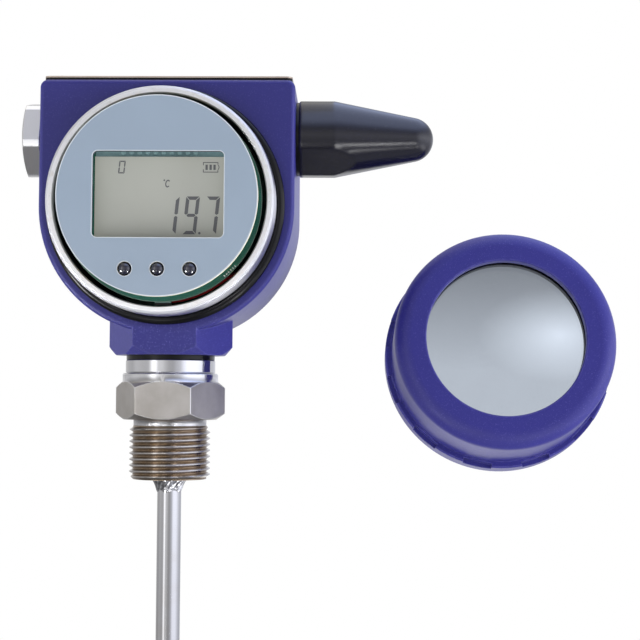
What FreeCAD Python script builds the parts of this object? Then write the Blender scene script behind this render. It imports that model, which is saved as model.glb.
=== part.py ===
import FreeCAD, Part
import math
import os
import re
import Sketcher

# Wireless temperature sensor: a cast display head on a steel neck, with a process fitting and a probe.
# Millimetres. The origin is the centre of the fitting's sealing shoulder, +Z goes up the probe axis,
# -Y is the display side and +X the antenna side.

SIZES = {
    # Head casting, measured from the probe axis and the drum axis
    "collar_bore": 67.6,
    "drum_wall": 8.15,
    "top_wall": 7.94,
    "housing_front": 18.0,
    "housing_back": 36.0,
    "corner_radius": 2.6,
    "front_edge_radius": 1.5,
    "back_edge_radius": 2.2,
    "back_wall": 5.0,
    "collar_wall": 2.45,
    "collar_length": 16.7,
    "collar_chamfer": 0.8,
    "mouth_chamfer": 0.25,
    "boss_flats": 36.0,
    "boss_length": 6.5,
    "boss_chamfer": 3.4,
    "boss_chamfer_land": 0.3,
    "port_rise": 25.0,
    "entry_rise": 24.35,
    "port_depth": 26.0,
    # Ring that seals the cap against the head
    "o_ring_section": 3.4,
    "o_ring_sink": 0.8,
    # Bare plate on the flat top
    "plate_side_margin": 1.0,
    "plate_end_margin": 2.6,
    "plate_corner": 2.0,
    "plate_sheet": 0.5,
    "plate_gasket": 1.05,
    "rivet_diameter": 4.0,
    "rivet_rise": 1.1,
    "rivet_inset": 5.0,
    # Blanking plug of the unused cable entry
    "plug_flats": 24.0,
    "plug_corners": 26.6,
    "plug_head": 7.6,
    "plug_dome_radius": 42.0,
    "plug_thread": 20.0,
    "plug_spin": 17.0,
    "plug_seal_thickness": 1.0,
    # Stub antenna
    "radome_diameter": 25.74,
    "radome_cylinder": 11.85,
    "radome_taper": 27.5,
    "radome_end_diameter": 14.6,
    "radome_nose": 5.8,
    "radome_flats": 22.9,
    "radome_spin": -40.5,
    "radome_wall": 3.6,
    "radome_bore": 8.0,
    "radome_socket": 8.0,
    "radome_edge": 0.6,
    "antenna_seal_thickness": 1.0,
    "antenna_seal_diameter": 24.8,
    "stud_diameter": 15.6,
    "element_diameter": 6.8,
    # Neck, process fitting and probe
    "neck_diameter": 30.0,
    "neck_height": 4.54,
    "neck_seal_thickness": 1.47,
    "neck_seal_diameter": 29.6,
    "neck_edge": 0.4,
    "neck_spigot": 22.0,
    "neck_engagement": 13.0,
    "wire_bore": 10.0,
    "fitting_flats": 32.0,
    "fitting_hex_height": 12.6,
    "fitting_chamfer": 2.45,
    "fitting_clocking": -2.3,
    "fitting_collar_diameter": 32.0,
    "fitting_collar_height": 2.84,
    "fitting_spigot": 16.0,
    "fitting_spigot_length": 9.0,
    "relief_diameter": 24.4,
    "relief_length": 2.23,
    "thread_diameter": 27.0,
    "thread_length": 17.6,
    "thread_chamfer": 1.6,
    "tube_diameter": 8.0,
    "tube_wall": 0.8,
    "insertion_length": 150.0,
    "tube_head": 20.0,
    "bead_diameter": 11.7,
    "bead_length": 4.6,
    "bead_radius": 6.5,
    "element_length": 20.0,
    "leads_diameter": 3.0,
    # Display stack, from the face film back to the boards
    "display_reach": 6.8,
    "display_shift": 0.4,
    "face_gap": 2.3,
    "face_rise": 0.35,
    "overlay_thickness": 0.4,
    "face_thickness": 1.6,
    "window_width": 41.0,
    "window_height": 27.0,
    "window_rise": 0.7,
    "window_corner": 1.6,
    "lcd_width": 43.0,
    "lcd_height": 31.2,
    "lcd_ledge": 1.8,
    "lcd_sheet": 1.4,
    "lcd_shift": 1.2,
    "lcd_rise": -0.5,
    "button_diameter": 3.8,
    "button_hole": 4.5,
    "button_pitch": 10.1,
    "button_drop": 22.6,
    "button_rise": 0.8,
    "button_edge": 0.7,
    "button_travel": 0.25,
    "switch_width": 6.0,
    "switch_height": 3.5,
    "switch_well": 1.0,
    "spacer_length": 7.0,
    "spacer_diameter": 5.2,
    "screw_diameter": 2.2,
    "screw_head_diameter": 4.2,
    "screw_head": 1.0,
    "screw_length": 6.0,
    "board_gap": 1.5,
    "board_thickness": 1.6,
    "pillar_inset": 3.3,
    "upper_pillar_angle": 69.5,
    "lower_pillar_angle": -43.6,
    "pillar_flats": 5.5,
    "main_board_depth": 6.0,
    "main_board_gap": 0.3,
    # What the boards carry
    "connector_width": 5.0,
    "connector_height": 3.6,
    "connector_depth": 3.2,
    "connector_side": 1.0,
    "connector_overhang": 0.8,
    "terminal_width": 22.0,
    "terminal_height": 10.0,
    "terminal_depth": 12.0,
    "terminal_drop": 23.9,
    "terminal_screw": 3.6,
    "terminal_pitch": 6.6,
    "radio_width": 14.0,
    "radio_height": 16.0,
    "radio_thickness": 3.0,
    "radio_top": 16.0,
    "radio_plate": 0.8,
    "radio_margin": 0.8,
    "battery_diameter": 14.5,
    "battery_length": 50.0,
    "battery_rise": 2.0,
    "holder_floor": 1.5,
    "holder_end": 2.5,
    "holder_height": 17.0,
    "cable_diameter": 1.4,
    "cable_run": 12.3,
    "cable_bend": 2.4,
    "lead_diameter": 1.5,
    "lead_gap": 1.8,
    "lead_end_angle": 36.0,
    "lead_bend": 5.0,
    # Cap, taken off and laid beside the head
    "cap_flange_wall": 4.15,
    "cap_flange_height": 8.8,
    "cap_rim_height": 6.2,
    "cap_rim_chamfer": 0.5,
    "cap_lugs": 12,
    "cap_notch_depth": 1.8,
    "cap_notch_width": 10.2,
    "cap_notch_turn": 18.3,
    "cap_root_wall": 1.8,
    "cap_draft": 0.15,
    "cap_height": 37.2,
    "cap_face_radius": 5.5,
    "cap_window_chamfer": 0.35,
    "cap_lip": 3.0,
    "cap_lip_width": 4.1,
    "cap_seat_step": 3.2,
    "cap_seat_depth": 7.3,
    "cap_bore_step": 1.9,
    "cap_thread_length": 12.5,
    "cap_mouth_chamfer": 1.4,
    "cap_gasket_thickness": 0.8,
    "cap_glass_thickness": 4.0,
    "cap_place_x": 113.83,
    "cap_place_y": 44.5,
    "cap_place_z": 21.2,
    "cap_tilt": 11.6,
    # Clearances
    "slip": 0.1,
    "thread_slip": 0.3,
    "element_slip": 0.3,
    "button_slip": 0.25,
    "end_slip": 0.5,
    # How far one volume of a casting reaches into the next
    "overlap": 2.0,
}

# Sizes that follow from the ones above. "Ahead" is the distance from the probe axis towards the viewer.
DERIVED = {
    "hex_top": "fitting_hex_height",
    "fitting_top": "hex_top + fitting_collar_height",
    "neck_top": "fitting_top + neck_height",
    "boss_bottom": "neck_top + neck_seal_thickness",
    "thread_end": "-(relief_length + thread_length)",
    "bore_radius": "collar_bore / 2",
    "collar_radius": "bore_radius + collar_wall",
    "half_width": "bore_radius + drum_wall",
    "top_rise": "bore_radius + top_wall",
    "drum_height": "boss_bottom + boss_length + half_width",
    "port_height": "drum_height + port_rise",
    "entry_height": "drum_height + entry_rise",
    "collar_front": "housing_front + collar_length",
    "o_ring_seat": "collar_radius - o_ring_sink",
    "plate_width": "2 * (half_width - plate_side_margin)",
    "plate_depth": "housing_front + housing_back - 2 * plate_end_margin",
    "cavity_back": "back_wall - housing_back",
    "overlay_front": "collar_front + display_reach",
    "face_front": "overlay_front - overlay_thickness",
    "face_back": "face_front - face_thickness",
    "board_front": "face_back - spacer_length",
    "board_back": "board_front - board_thickness",
    "main_front": "-main_board_depth",
    "main_back": "main_front - board_thickness",
    "face_diameter": "collar_bore - 2 * face_gap",
    "pillar_circle": "face_diameter / 2 - pillar_inset",
    "plug_reach": "half_width - sqrt((collar_bore / 2) ^ 2 - (entry_rise - plug_thread / 2) ^ 2)",
    "stud_reach": "half_width - sqrt((collar_bore / 2) ^ 2 - (port_rise - stud_diameter / 2) ^ 2)",
    "radio_side": "half_width - stud_reach - cable_run",
    "radome_base": "half_width + antenna_seal_thickness",
    "radome_tip": "radome_base + radome_cylinder + radome_taper + radome_nose",
    "nose_radius": "((radome_end_diameter / 2) ^ 2 + radome_nose ^ 2) / (2 * radome_nose)",
    "stud_end": "radome_base + radome_socket - slip",
    "rivet_radius": "((rivet_diameter / 2) ^ 2 + rivet_rise ^ 2) / (2 * rivet_rise)",
    "plug_base": "half_width + plug_seal_thickness",
    "plug_end": "plug_base + plug_head",
    "plug_sag": "plug_dome_radius - sqrt(plug_dome_radius ^ 2 - (plug_corners / 2) ^ 2)",
    "terminal_bottom": "drum_height - terminal_drop",
    "element_top": "tube_diameter / 2 + element_length - insertion_length",
    "cap_seat_top": "cap_height - cap_lip",
    "cap_glass_top": "cap_seat_top - cap_gasket_thickness",
    "cap_glass_bottom": "cap_glass_top - cap_glass_thickness",
    "cap_seat_bottom": "cap_seat_top - cap_seat_depth",
    "cap_thread_radius": "collar_radius + thread_slip",
    "cap_flange_radius": "cap_thread_radius + cap_flange_wall",
    "cap_root_radius": "cap_thread_radius + cap_root_wall",
    "cap_bore_radius": "cap_thread_radius - cap_bore_step",
    "cap_seat_radius": "cap_bore_radius - cap_seat_step",
    "cap_window_radius": "cap_seat_radius - cap_lip_width",
    "holder_length": "battery_length + 2 * holder_end + 2 * end_slip",
    "battery_ahead": "main_back - holder_floor - slip - battery_diameter / 2",
}

ZERO = ("0", "0", "0")
DRUM = ("0", "0", "drum_height")
PORT = ("0", "0", "port_height")
ENTRY = ("0", "0", "entry_height")
X_AXIS = FreeCAD.Vector(1, 0, 0)
Y_AXIS = FreeCAD.Vector(0, 1, 0)
Z_AXIS = FreeCAD.Vector(0, 0, 1)
# Each turn takes a piece's own +Z to the named side.
TURNS = {
    "up": FreeCAD.Rotation(),
    "front": FreeCAD.Rotation(X_AXIS, 90),
    "right": FreeCAD.Rotation(Y_AXIS, 90),
    "left": FreeCAD.Rotation(Y_AXIS, -90),
}

doc = FreeCAD.newDocument("wireless_temperature_sensor")
sheet = doc.addObject("Spreadsheet::Sheet", "Sizes")
for row, (alias, size) in enumerate(SIZES.items(), start=1):
    sheet.set(f"A{row}", alias)
    sheet.set(f"B{row}", str(size))
    sheet.setAlias(f"B{row}", alias)
doc.recompute()


def formula(text):
    """Spell out derived sizes and point each driving size at its cell."""
    def spell(match):
        name = match.group(0)
        if name in DERIVED:
            return "(" + formula(DERIVED[name]) + ")"
        return "Sizes." + name if name in SIZES else name
    return re.sub(r"[A-Za-z_]\w*", spell, text)


def number(text):
    """The value of a size expression."""
    return float(sheet.evalExpression(formula(text)))


def bind(item, prop, text):
    """Tie one property to the sheet."""
    item.setExpression(prop, formula(text))


def place(item, spot, turn="up", spin="0"):
    """Set a piece's place, with its turn and its spin about its own axis."""
    rotation = TURNS[turn].multiply(FreeCAD.Rotation(Z_AXIS, number(spin)))
    item.Placement = FreeCAD.Placement(FreeCAD.Vector(), rotation)
    for letter, text in zip("xyz", spot):
        bind(item, "Placement.Base." + letter, text)
    return item


# Sketches


def new_sketch(body, plane="XY_Plane", level="0", rise="0"):
    """A sketch on one of the body's own planes, moved along its normal by level."""
    sketch = body.newObject("Sketcher::SketchObject", body.Name + "_sketch")
    origin_plane = [p for p in body.Origin.OriginFeatures if p.Role == plane][0]
    sketch.AttachmentSupport = [(origin_plane, "")]
    sketch.MapMode = "FlatFace"
    bind(sketch, "AttachmentOffset.Base.z", level)
    bind(sketch, "AttachmentOffset.Base.y", rise)
    return sketch


def fix_size(sketch, constraint, text):
    """Add a dimension and tie it to the sheet."""
    index = sketch.addConstraint(constraint)
    bind(sketch, f"Constraints[{index}]", text)


def fix_point(sketch, edge, end, x, y):
    """Dimension one point of an edge from the sketch origin."""
    fix_size(sketch, Sketcher.Constraint("DistanceX", -1, 1, edge, end, number(x)), x)
    fix_size(sketch, Sketcher.Constraint("DistanceY", -1, 1, edge, end, number(y)), y)


def arc_between(start, end, radius, turn):
    """The shorter arc from start to end, turning ccw or cw."""
    chord = end - start
    side = FreeCAD.Vector(-chord.y, chord.x, 0).normalize()
    reach = math.sqrt(max(radius ** 2 - (chord.Length / 2) ** 2, 0))
    centre = (start + end) / 2 + side * (reach if turn == "ccw" else -reach)
    first, last = (start, end) if turn == "ccw" else (end, start)
    angles = [math.atan2(p.y - centre.y, p.x - centre.x) for p in (first, last)]
    return Part.ArcOfCircle(Part.Circle(centre, Z_AXIS, radius), *angles)


def draw_outline(sketch, points):
    """Close a chain through points (x, y); (x, y, radius, turn) is reached by an arc."""
    spots = [FreeCAD.Vector(number(p[0]), number(p[1]), 0) for p in points]
    edges = []
    for index, point in enumerate(points):
        arrival = points[(index + 1) % len(points)]
        start, end = spots[index], spots[(index + 1) % len(points)]
        ends = (1, 2)
        if len(arrival) == 2:
            edge = sketch.addGeometry(Part.LineSegment(start, end))
        else:
            radius, turn = arrival[2:]
            edge = sketch.addGeometry(arc_between(start, end, number(radius), turn))
            fix_size(sketch, Sketcher.Constraint("Radius", edge, number(radius)), radius)
            ends = (1, 2) if turn == "ccw" else (2, 1)
        fix_point(sketch, edge, ends[0], point[0], point[1])
        edges.append((edge, ends))
    for (edge, ends), (after, after_ends) in zip(edges, edges[1:] + edges[:1]):
        sketch.addConstraint(Sketcher.Constraint("Coincident", edge, ends[1], after, after_ends[0]))


def draw_circle(sketch, x, y, diameter):
    """A circle whose centre and diameter are tied to the sheet."""
    centre = FreeCAD.Vector(number(x), number(y), 0)
    edge = sketch.addGeometry(Part.Circle(centre, Z_AXIS, number(diameter) / 2))
    fix_point(sketch, edge, 3, x, y)
    radius = f"({diameter}) / 2"
    fix_size(sketch, Sketcher.Constraint("Radius", edge, number(radius)), radius)


def rounded(width, height, radius, x="0", y="0"):
    """The outline of a rectangle with round corners about a centre."""
    left, right = f"{x} - {width} / 2", f"{x} + {width} / 2"
    low, high = f"{y} - {height} / 2", f"{y} + {height} / 2"
    return [
        (f"{left} + {radius}", low, radius, "ccw"),
        (f"{right} - {radius}", low),
        (right, f"{low} + {radius}", radius, "ccw"),
        (right, f"{high} - {radius}"),
        (f"{right} - {radius}", high, radius, "ccw"),
        (f"{left} + {radius}", high),
        (left, f"{high} - {radius}", radius, "ccw"),
        (left, f"{low} + {radius}"),
    ]


def hexagon(flats):
    """The outline of a hexagon with two corners on the sketch's x axis."""
    side = f"{flats} / sqrt(3)"
    return [
        (side, "0"),
        (f"{side} / 2", f"{flats} / 2"),
        (f"-{side} / 2", f"{flats} / 2"),
        (f"-{side}", "0"),
        (f"-{side} / 2", f"-{flats} / 2"),
        (f"{side} / 2", f"-{flats} / 2"),
    ]


def past_corners(flats):
    """A radius just outside the corners of a hexagon."""
    return f"{flats} / sqrt(3) + end_slip"


# Features


def new_body(label):
    """An empty body that becomes one piece."""
    return doc.addObject("PartDesign::Body", label)


def pad(body, sketch, length):
    """Raise a sketch along its normal."""
    feature = body.newObject("PartDesign::Pad", body.Name + "_pad")
    feature.Profile = sketch
    bind(feature, "Length", length)
    return feature


def cut_away(feature):
    """Rebuild after a cut and make sure that it took material away."""
    before = feature.BaseFeature.Shape.Volume
    doc.recompute()
    if feature.Shape.Volume > before - 1e-6:
        raise RuntimeError(f"{feature.Label} cuts nothing")


def pocket(body, sketch, depth, along=False):
    """Sink a sketch against its normal, or along it."""
    doc.recompute()
    feature = body.newObject("PartDesign::Pocket", body.Name + "_pocket")
    feature.Profile = sketch
    feature.Reversed = along
    bind(feature, "Length", depth)
    cut_away(feature)
    return feature


def revolve(body, sketch, axis="V_Axis"):
    """Turn a sketch about one of its axes."""
    feature = body.newObject("PartDesign::Revolution", body.Name + "_turning")
    feature.Profile = sketch
    feature.ReferenceAxis = (sketch, [axis])
    feature.Angle = 360
    return feature


def groove(body, sketch, axis="V_Axis"):
    """Turn away what lies inside a sketch."""
    doc.recompute()
    feature = body.newObject("PartDesign::Groove", body.Name + "_groove")
    feature.Profile = sketch
    feature.ReferenceAxis = (sketch, [axis])
    feature.Angle = 360
    cut_away(feature)
    return feature


def turned(label, points, spot=ZERO, turn="up"):
    """A piece turned on a lathe: its half section is points (radius, height)."""
    body = new_body(label)
    sketch = new_sketch(body, "XZ_Plane")
    draw_outline(sketch, points)
    revolve(body, sketch)
    return place(body, spot, turn)


def ring(label, inner, outer, low, high, spot=ZERO, turn="up"):
    """A flat ring, by its diameters and its two levels."""
    radii = (f"({inner}) / 2", f"({outer}) / 2")
    return turned(label, [(radii[0], low), (radii[1], low), (radii[1], high), (radii[0], high)], spot, turn)


def box(label, x, ahead, z):
    """A box by its (low, high) limits sideways, ahead and upwards."""
    item = doc.addObject("Part::Box", label)
    for prop, (low, high) in (("Length", x), ("Width", ahead), ("Height", z)):
        bind(item, prop, f"({high}) - ({low})")
    return place(item, (x[0], f"-({ahead[1]})", z[0]))


def cylinder(label, diameter, length, spot, turn="up"):
    """A cylinder from spot towards the named side."""
    item = doc.addObject("Part::Cylinder", label)
    bind(item, "Radius", f"({diameter}) / 2")
    bind(item, "Height", length)
    return place(item, spot, turn)


def combine(kind, label, base, tool):
    """A boolean of two pieces: Cut or Fuse."""
    item = doc.addObject("Part::" + kind, label)
    item.Base = base
    item.Tool = tool
    return item


def group(label, items):
    """Like pieces kept in one node as separate solids."""
    item = doc.addObject("Part::Compound", label)
    item.Links = items
    return item


def tube(label, edges, diameter):
    """A round wire along straight runs and tangent arcs."""
    wire, radius = Part.Wire(edges), number(diameter) / 2
    first = wire.Edges[0]
    start, heading = first.valueAt(first.FirstParameter), first.tangentAt(first.FirstParameter)
    section = Part.Wire(Part.Circle(start, heading, radius).toShape())
    shape = wire.makePipeShell([section], True, False)
    expected = math.pi * radius ** 2 * wire.Length
    if abs(shape.Volume / expected - 1) > 0.01:
        raise RuntimeError(f"{label} has the wrong volume")
    item = doc.addObject("Part::Feature", label)
    item.Shape = shape
    return item


# Head casting


def edges_at(shape, level):
    """Names of the edges that lie in the plane z = level."""
    names = []
    for index, edge in enumerate(shape.Edges, start=1):
        extent = edge.BoundBox
        if abs(extent.ZMin - level) < 1e-4 and abs(extent.ZMax - level) < 1e-4:
            names.append(f"Edge{index}")
    return names


def round_edges(body, base, level, radius):
    """Round the outer edge of the drum at one of its ends."""
    doc.recompute()
    feature = body.newObject("PartDesign::Fillet", body.Name + "_rounding")
    feature.Base = (base, edges_at(base.Shape, number(level)))
    bind(feature, "Radius", radius)
    return feature


def drum_outline():
    """A round drum with a flat top and square shoulders."""
    edge = "half_width - corner_radius"
    shoulder = "top_rise - corner_radius"
    return [
        ("half_width", "0", "half_width", "ccw"),
        ("half_width", shoulder),
        (edge, "top_rise", "corner_radius", "ccw"),
        (f"-({edge})", "top_rise"),
        ("-half_width", shoulder, "corner_radius", "ccw"),
        ("-half_width", "0"),
        ("0", "-half_width", "half_width", "ccw"),
    ]


def make_housing():
    """One casting: drum, collar, hexagon boss below and a port on each side."""
    body = new_body("housing")
    sketch = new_sketch(body, level="-housing_back")
    draw_outline(sketch, drum_outline())
    drum = pad(body, sketch, "housing_front + housing_back")
    rounding = round_edges(body, drum, "housing_front", "front_edge_radius")
    round_edges(body, rounding, "-housing_back", "back_edge_radius")

    sketch = new_sketch(body, "XZ_Plane")
    root, inner = "housing_front - overlap", "bore_radius - overlap"
    groove_top = "housing_front + o_ring_section + end_slip"
    draw_outline(sketch, [
        (inner, root),
        ("o_ring_seat", root),
        ("o_ring_seat", groove_top),
        ("collar_radius", f"{groove_top} + collar_chamfer"),
        ("collar_radius", "collar_front - collar_chamfer"),
        ("collar_radius - collar_chamfer", "collar_front"),
        (inner, "collar_front"),
    ])
    revolve(body, sketch)

    sketch = new_sketch(body, "XZ_Plane")
    draw_outline(sketch, hexagon("boss_flats"))
    pad(body, sketch, "drum_height - boss_bottom")

    sketch = new_sketch(body)
    land, corner = "boss_flats / 2 + boss_chamfer_land", past_corners("boss_flats")
    foot = "boss_bottom - drum_height"
    draw_outline(sketch, [(land, foot), (corner, foot), (corner, f"{foot} + boss_chamfer")])
    groove(body, sketch)

    sketch = new_sketch(body, "XZ_Plane")
    mouth = "bore_radius + mouth_chamfer"
    draw_outline(sketch, [
        ("0", "cavity_back"),
        ("bore_radius", "cavity_back"),
        ("bore_radius", "collar_front - mouth_chamfer"),
        (mouth, "collar_front"),
        (mouth, "collar_front + end_slip"),
        ("0", "collar_front + end_slip"),
    ])
    groove(body, sketch)

    sketch = new_sketch(body)
    reach, inside = "neck_spigot / 2 + slip", "neck_spigot / 2 - bore_radius"
    draw_outline(sketch, [
        ("0", f"{foot} - end_slip"),
        (reach, f"{foot} - end_slip"),
        (reach, inside),
        ("0", inside),
    ])
    groove(body, sketch)

    outside = "half_width + end_slip"
    inside = "half_width - port_depth"
    for side, bore, rise in (("-", "plug_thread", "entry_rise"), ("", "stud_diameter", "port_rise")):
        sketch = new_sketch(body, rise=rise)
        height = f"{bore} / 2 + slip"
        draw_outline(sketch, [
            (f"{side}({inside})", "0"),
            (f"{side}({outside})", "0"),
            (f"{side}({outside})", height),
            (f"{side}({inside})", height),
        ])
        groove(body, sketch, "H_Axis")
    return place(body, DRUM, "front")


def make_o_ring():
    """Round-section ring at the root of the collar."""
    item = doc.addObject("Part::Torus", "cover_o_ring")
    bind(item, "Radius1", "o_ring_seat + o_ring_section / 2 + slip")
    bind(item, "Radius2", "o_ring_section / 2")
    ahead = "housing_front + o_ring_section / 2 + slip"
    return place(item, ("0", f"-({ahead})", "drum_height"), "front")


def make_name_plate():
    """Bare sheet on a gasket, with rivet heads at its corners."""
    middle = "(housing_back - housing_front) / 2"
    top = "drum_height + top_rise"
    pieces = []
    layers = (
        ("name_plate_gasket", top, "plate_gasket"),
        ("name_plate", f"{top} + plate_gasket", "plate_sheet"),
    )
    for label, level, thickness in layers:
        body = new_body(label)
        sketch = new_sketch(body)
        draw_outline(sketch, rounded("plate_width", "plate_depth", "plate_corner"))
        pad(body, sketch, thickness)
        pieces.append(place(body, ("0", middle, level)))
    heads = []
    for side in ("-", ""):
        for end in ("-", ""):
            x = f"{side}(plate_width / 2 - rivet_inset)"
            y = f"{middle} + {end}(plate_depth / 2 - rivet_inset)"
            outline = [("0", "0"), ("rivet_diameter / 2", "0"), ("0", "rivet_rise", "rivet_radius", "ccw")]
            heads.append(turned("rivet", outline, (x, y, f"{top} + plate_gasket + plate_sheet")))
    return pieces + [group("name_plate_rivets", heads)]


# Side ports


def make_entry_plug():
    """Hexagon plug with turned corners and a domed end, on a flat seal."""
    body = new_body("entry_plug")
    sketch = new_sketch(body, level="plug_base")
    draw_outline(sketch, hexagon("plug_flats"))
    pad(body, sketch, "plug_head")
    sketch = new_sketch(body, level="half_width - plug_reach")
    draw_circle(sketch, "0", "0", "plug_thread")
    pad(body, sketch, "plug_reach + plug_seal_thickness")
    sketch = new_sketch(body, "XZ_Plane")
    corner, outside = "plug_corners / 2", past_corners("plug_flats")
    draw_outline(sketch, [
        (corner, "plug_base - end_slip"),
        (outside, "plug_base - end_slip"),
        (outside, "plug_end + end_slip"),
        ("0", "plug_end + end_slip"),
        ("0", "plug_end"),
        (corner, "plug_end - plug_sag", "plug_dome_radius", "cw"),
    ])
    groove(body, sketch)
    bore = "plug_thread + 2 * slip"
    seal = ring("entry_plug_seal", bore, "plug_flats", "half_width", "plug_base", ENTRY, "left")
    return [place(body, ENTRY, "left", "plug_spin"), seal]


def make_antenna():
    """Moulded radome with two spanner flats that run out on its cone, over a stud and a rod."""
    body = new_body("antenna_radome")
    sketch = new_sketch(body, "XZ_Plane")
    taper_end = "radome_base + radome_cylinder + radome_taper"
    bore_end = "radome_tip - radome_nose - radome_wall"
    draw_outline(sketch, [
        ("stud_diameter / 2 + slip", "radome_base"),
        ("radome_diameter / 2 - radome_edge", "radome_base"),
        ("radome_diameter / 2", "radome_base + radome_edge", "radome_edge", "ccw"),
        ("radome_diameter / 2", "radome_base + radome_cylinder"),
        ("radome_end_diameter / 2", taper_end),
        ("0", "radome_tip", "nose_radius", "ccw"),
        ("0", bore_end),
        ("radome_bore / 2", bore_end),
        ("radome_bore / 2", "radome_base + radome_socket"),
        ("stud_diameter / 2 + slip", "radome_base + radome_socket"),
    ])
    revolve(body, sketch)
    sketch = new_sketch(body, level="radome_base")
    near, far = "radome_flats / 2", "radome_diameter"
    for side in ("-", ""):
        draw_outline(sketch, [
            (f"{side}{near}", "-radome_diameter"),
            (f"{side}{far}", "-radome_diameter"),
            (f"{side}{far}", "radome_diameter"),
            (f"{side}{near}", "radome_diameter"),
        ])
    pocket(body, sketch, "radome_tip - radome_base", along=True)
    place(body, PORT, "right", "radome_spin")
    inner_end = "half_width - stud_reach"
    stud = turned("antenna_stud", [
        ("0", inner_end),
        ("stud_diameter / 2", inner_end),
        ("stud_diameter / 2", "stud_end"),
        ("0", "stud_end"),
    ], PORT, "right")
    rod = turned("antenna_element", [
        ("0", "stud_end"),
        ("element_diameter / 2", "stud_end"),
        ("element_diameter / 2", f"{bore_end} - end_slip"),
        ("0", f"{bore_end} - end_slip"),
    ], PORT, "right")
    bore = "stud_diameter + 2 * slip"
    seal = ring("antenna_seal", bore, "antenna_seal_diameter", "half_width", "radome_base", PORT, "right")
    return [body, stud, rod, seal]


# Neck and probe


def make_neck():
    """Steel neck screwed into the boss, with its flat seal."""
    edge, radius = "neck_edge", "neck_diameter / 2"
    socket = "fitting_spigot / 2 + slip"
    socket_top = "fitting_top + fitting_spigot_length + end_slip"
    top = "boss_bottom + neck_engagement"
    neck = turned("neck_adapter", [
        (socket, "fitting_top"),
        (f"{radius} - {edge}", "fitting_top"),
        (radius, f"fitting_top + {edge}"),
        (radius, f"neck_top - {edge}"),
        (f"{radius} - {edge}", "neck_top"),
        ("neck_spigot / 2", "neck_top"),
        ("neck_spigot / 2", top),
        ("wire_bore / 2", top),
        ("wire_bore / 2", socket_top),
        (socket, socket_top),
    ])
    seal = ring("neck_seal", "neck_spigot + 2 * slip", "neck_seal_diameter", "neck_top", "boss_bottom")
    return [neck, seal]


def make_fitting():
    """Hexagon process fitting: collar, chamfered hexagon, thread relief and thread."""
    body = new_body("process_fitting")
    sketch = new_sketch(body, "XZ_Plane")
    bore, collar = "tube_diameter / 2 + slip", "fitting_collar_diameter / 2"
    core = "relief_diameter / 2"
    draw_outline(sketch, [
        (bore, "thread_end"),
        ("thread_diameter / 2 - thread_chamfer", "thread_end"),
        ("thread_diameter / 2", "thread_end + thread_chamfer"),
        ("thread_diameter / 2", "-relief_length"),
        (core, "-relief_length"),
        (core, "hex_top"),
        (collar, "hex_top"),
        (collar, "fitting_top - neck_edge"),
        (f"{collar} - neck_edge", "fitting_top"),
        ("fitting_spigot / 2", "fitting_top"),
        ("fitting_spigot / 2", "fitting_top + fitting_spigot_length"),
        (bore, "fitting_top + fitting_spigot_length"),
    ])
    revolve(body, sketch)
    sketch = new_sketch(body)
    draw_outline(sketch, hexagon("fitting_flats"))
    draw_circle(sketch, "0", "0", "relief_diameter - 2 * end_slip")
    pad(body, sketch, "hex_top")
    corner = past_corners("fitting_flats")
    sketch = new_sketch(body, "XZ_Plane")
    draw_outline(sketch, [(collar, "hex_top"), (corner, "hex_top - fitting_chamfer"), (corner, "hex_top")])
    draw_outline(sketch, [(f"{collar} - neck_edge", "0"), (corner, "0"), (corner, "fitting_chamfer")])
    groove(body, sketch)
    return place(body, ZERO, "up", "fitting_clocking")


def make_probe():
    """Closed tube welded into the fitting, with its sensing element and leads."""
    outer, inner = "tube_diameter / 2", "tube_diameter / 2 - tube_wall"
    tip = "-insertion_length"
    tube_piece = turned("probe_tube", [
        ("0", tip),
        (outer, f"{tip} + {outer}", outer, "ccw"),
        (outer, "tube_head"),
        (inner, "tube_head"),
        (inner, f"{tip} + {outer}"),
        ("0", f"{tip} + tube_wall", inner, "cw"),
    ])
    bore = f"{outer} + slip / 2"
    bead = turned("weld_bead", [
        (bore, "thread_end"),
        ("bead_diameter / 2", "thread_end"),
        (f"{bore} + slip", "thread_end - bead_length", "bead_radius", "ccw"),
        (bore, "thread_end - bead_length"),
    ])
    foot = f"{tip} + {outer}"
    width = f"2 * ({inner} - element_slip)"
    element = cylinder("sensing_element", width, "element_length", ("0", "0", foot))
    reach = "terminal_bottom - element_top"
    leads = cylinder("sensor_leads", "leads_diameter", reach, ("0", "0", "element_top"))
    return [tube_piece, bead, element, leads]


# Display and boards


def pillar_places():
    """Sideways and upward place of each of the four pillars, from the drum axis."""
    places = []
    for angle in ("upper_pillar_angle", "lower_pillar_angle"):
        for side in ("-", ""):
            places.append((f"{side}pillar_circle * cos({angle})", f"pillar_circle * sin({angle})"))
    return places


def button_places():
    """Sideways place of each push-button."""
    return [f"display_shift + {step} * button_pitch" for step in ("-1", "0", "1")]


def draw_face(sketch):
    """Round face with the display window and the button holes."""
    draw_circle(sketch, "0", "face_rise", "face_diameter")
    centre = ("display_shift", "window_rise")
    draw_outline(sketch, rounded("window_width", "window_height", "window_corner", *centre))
    for x in button_places():
        draw_circle(sketch, x, "-button_drop", "button_hole")


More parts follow.
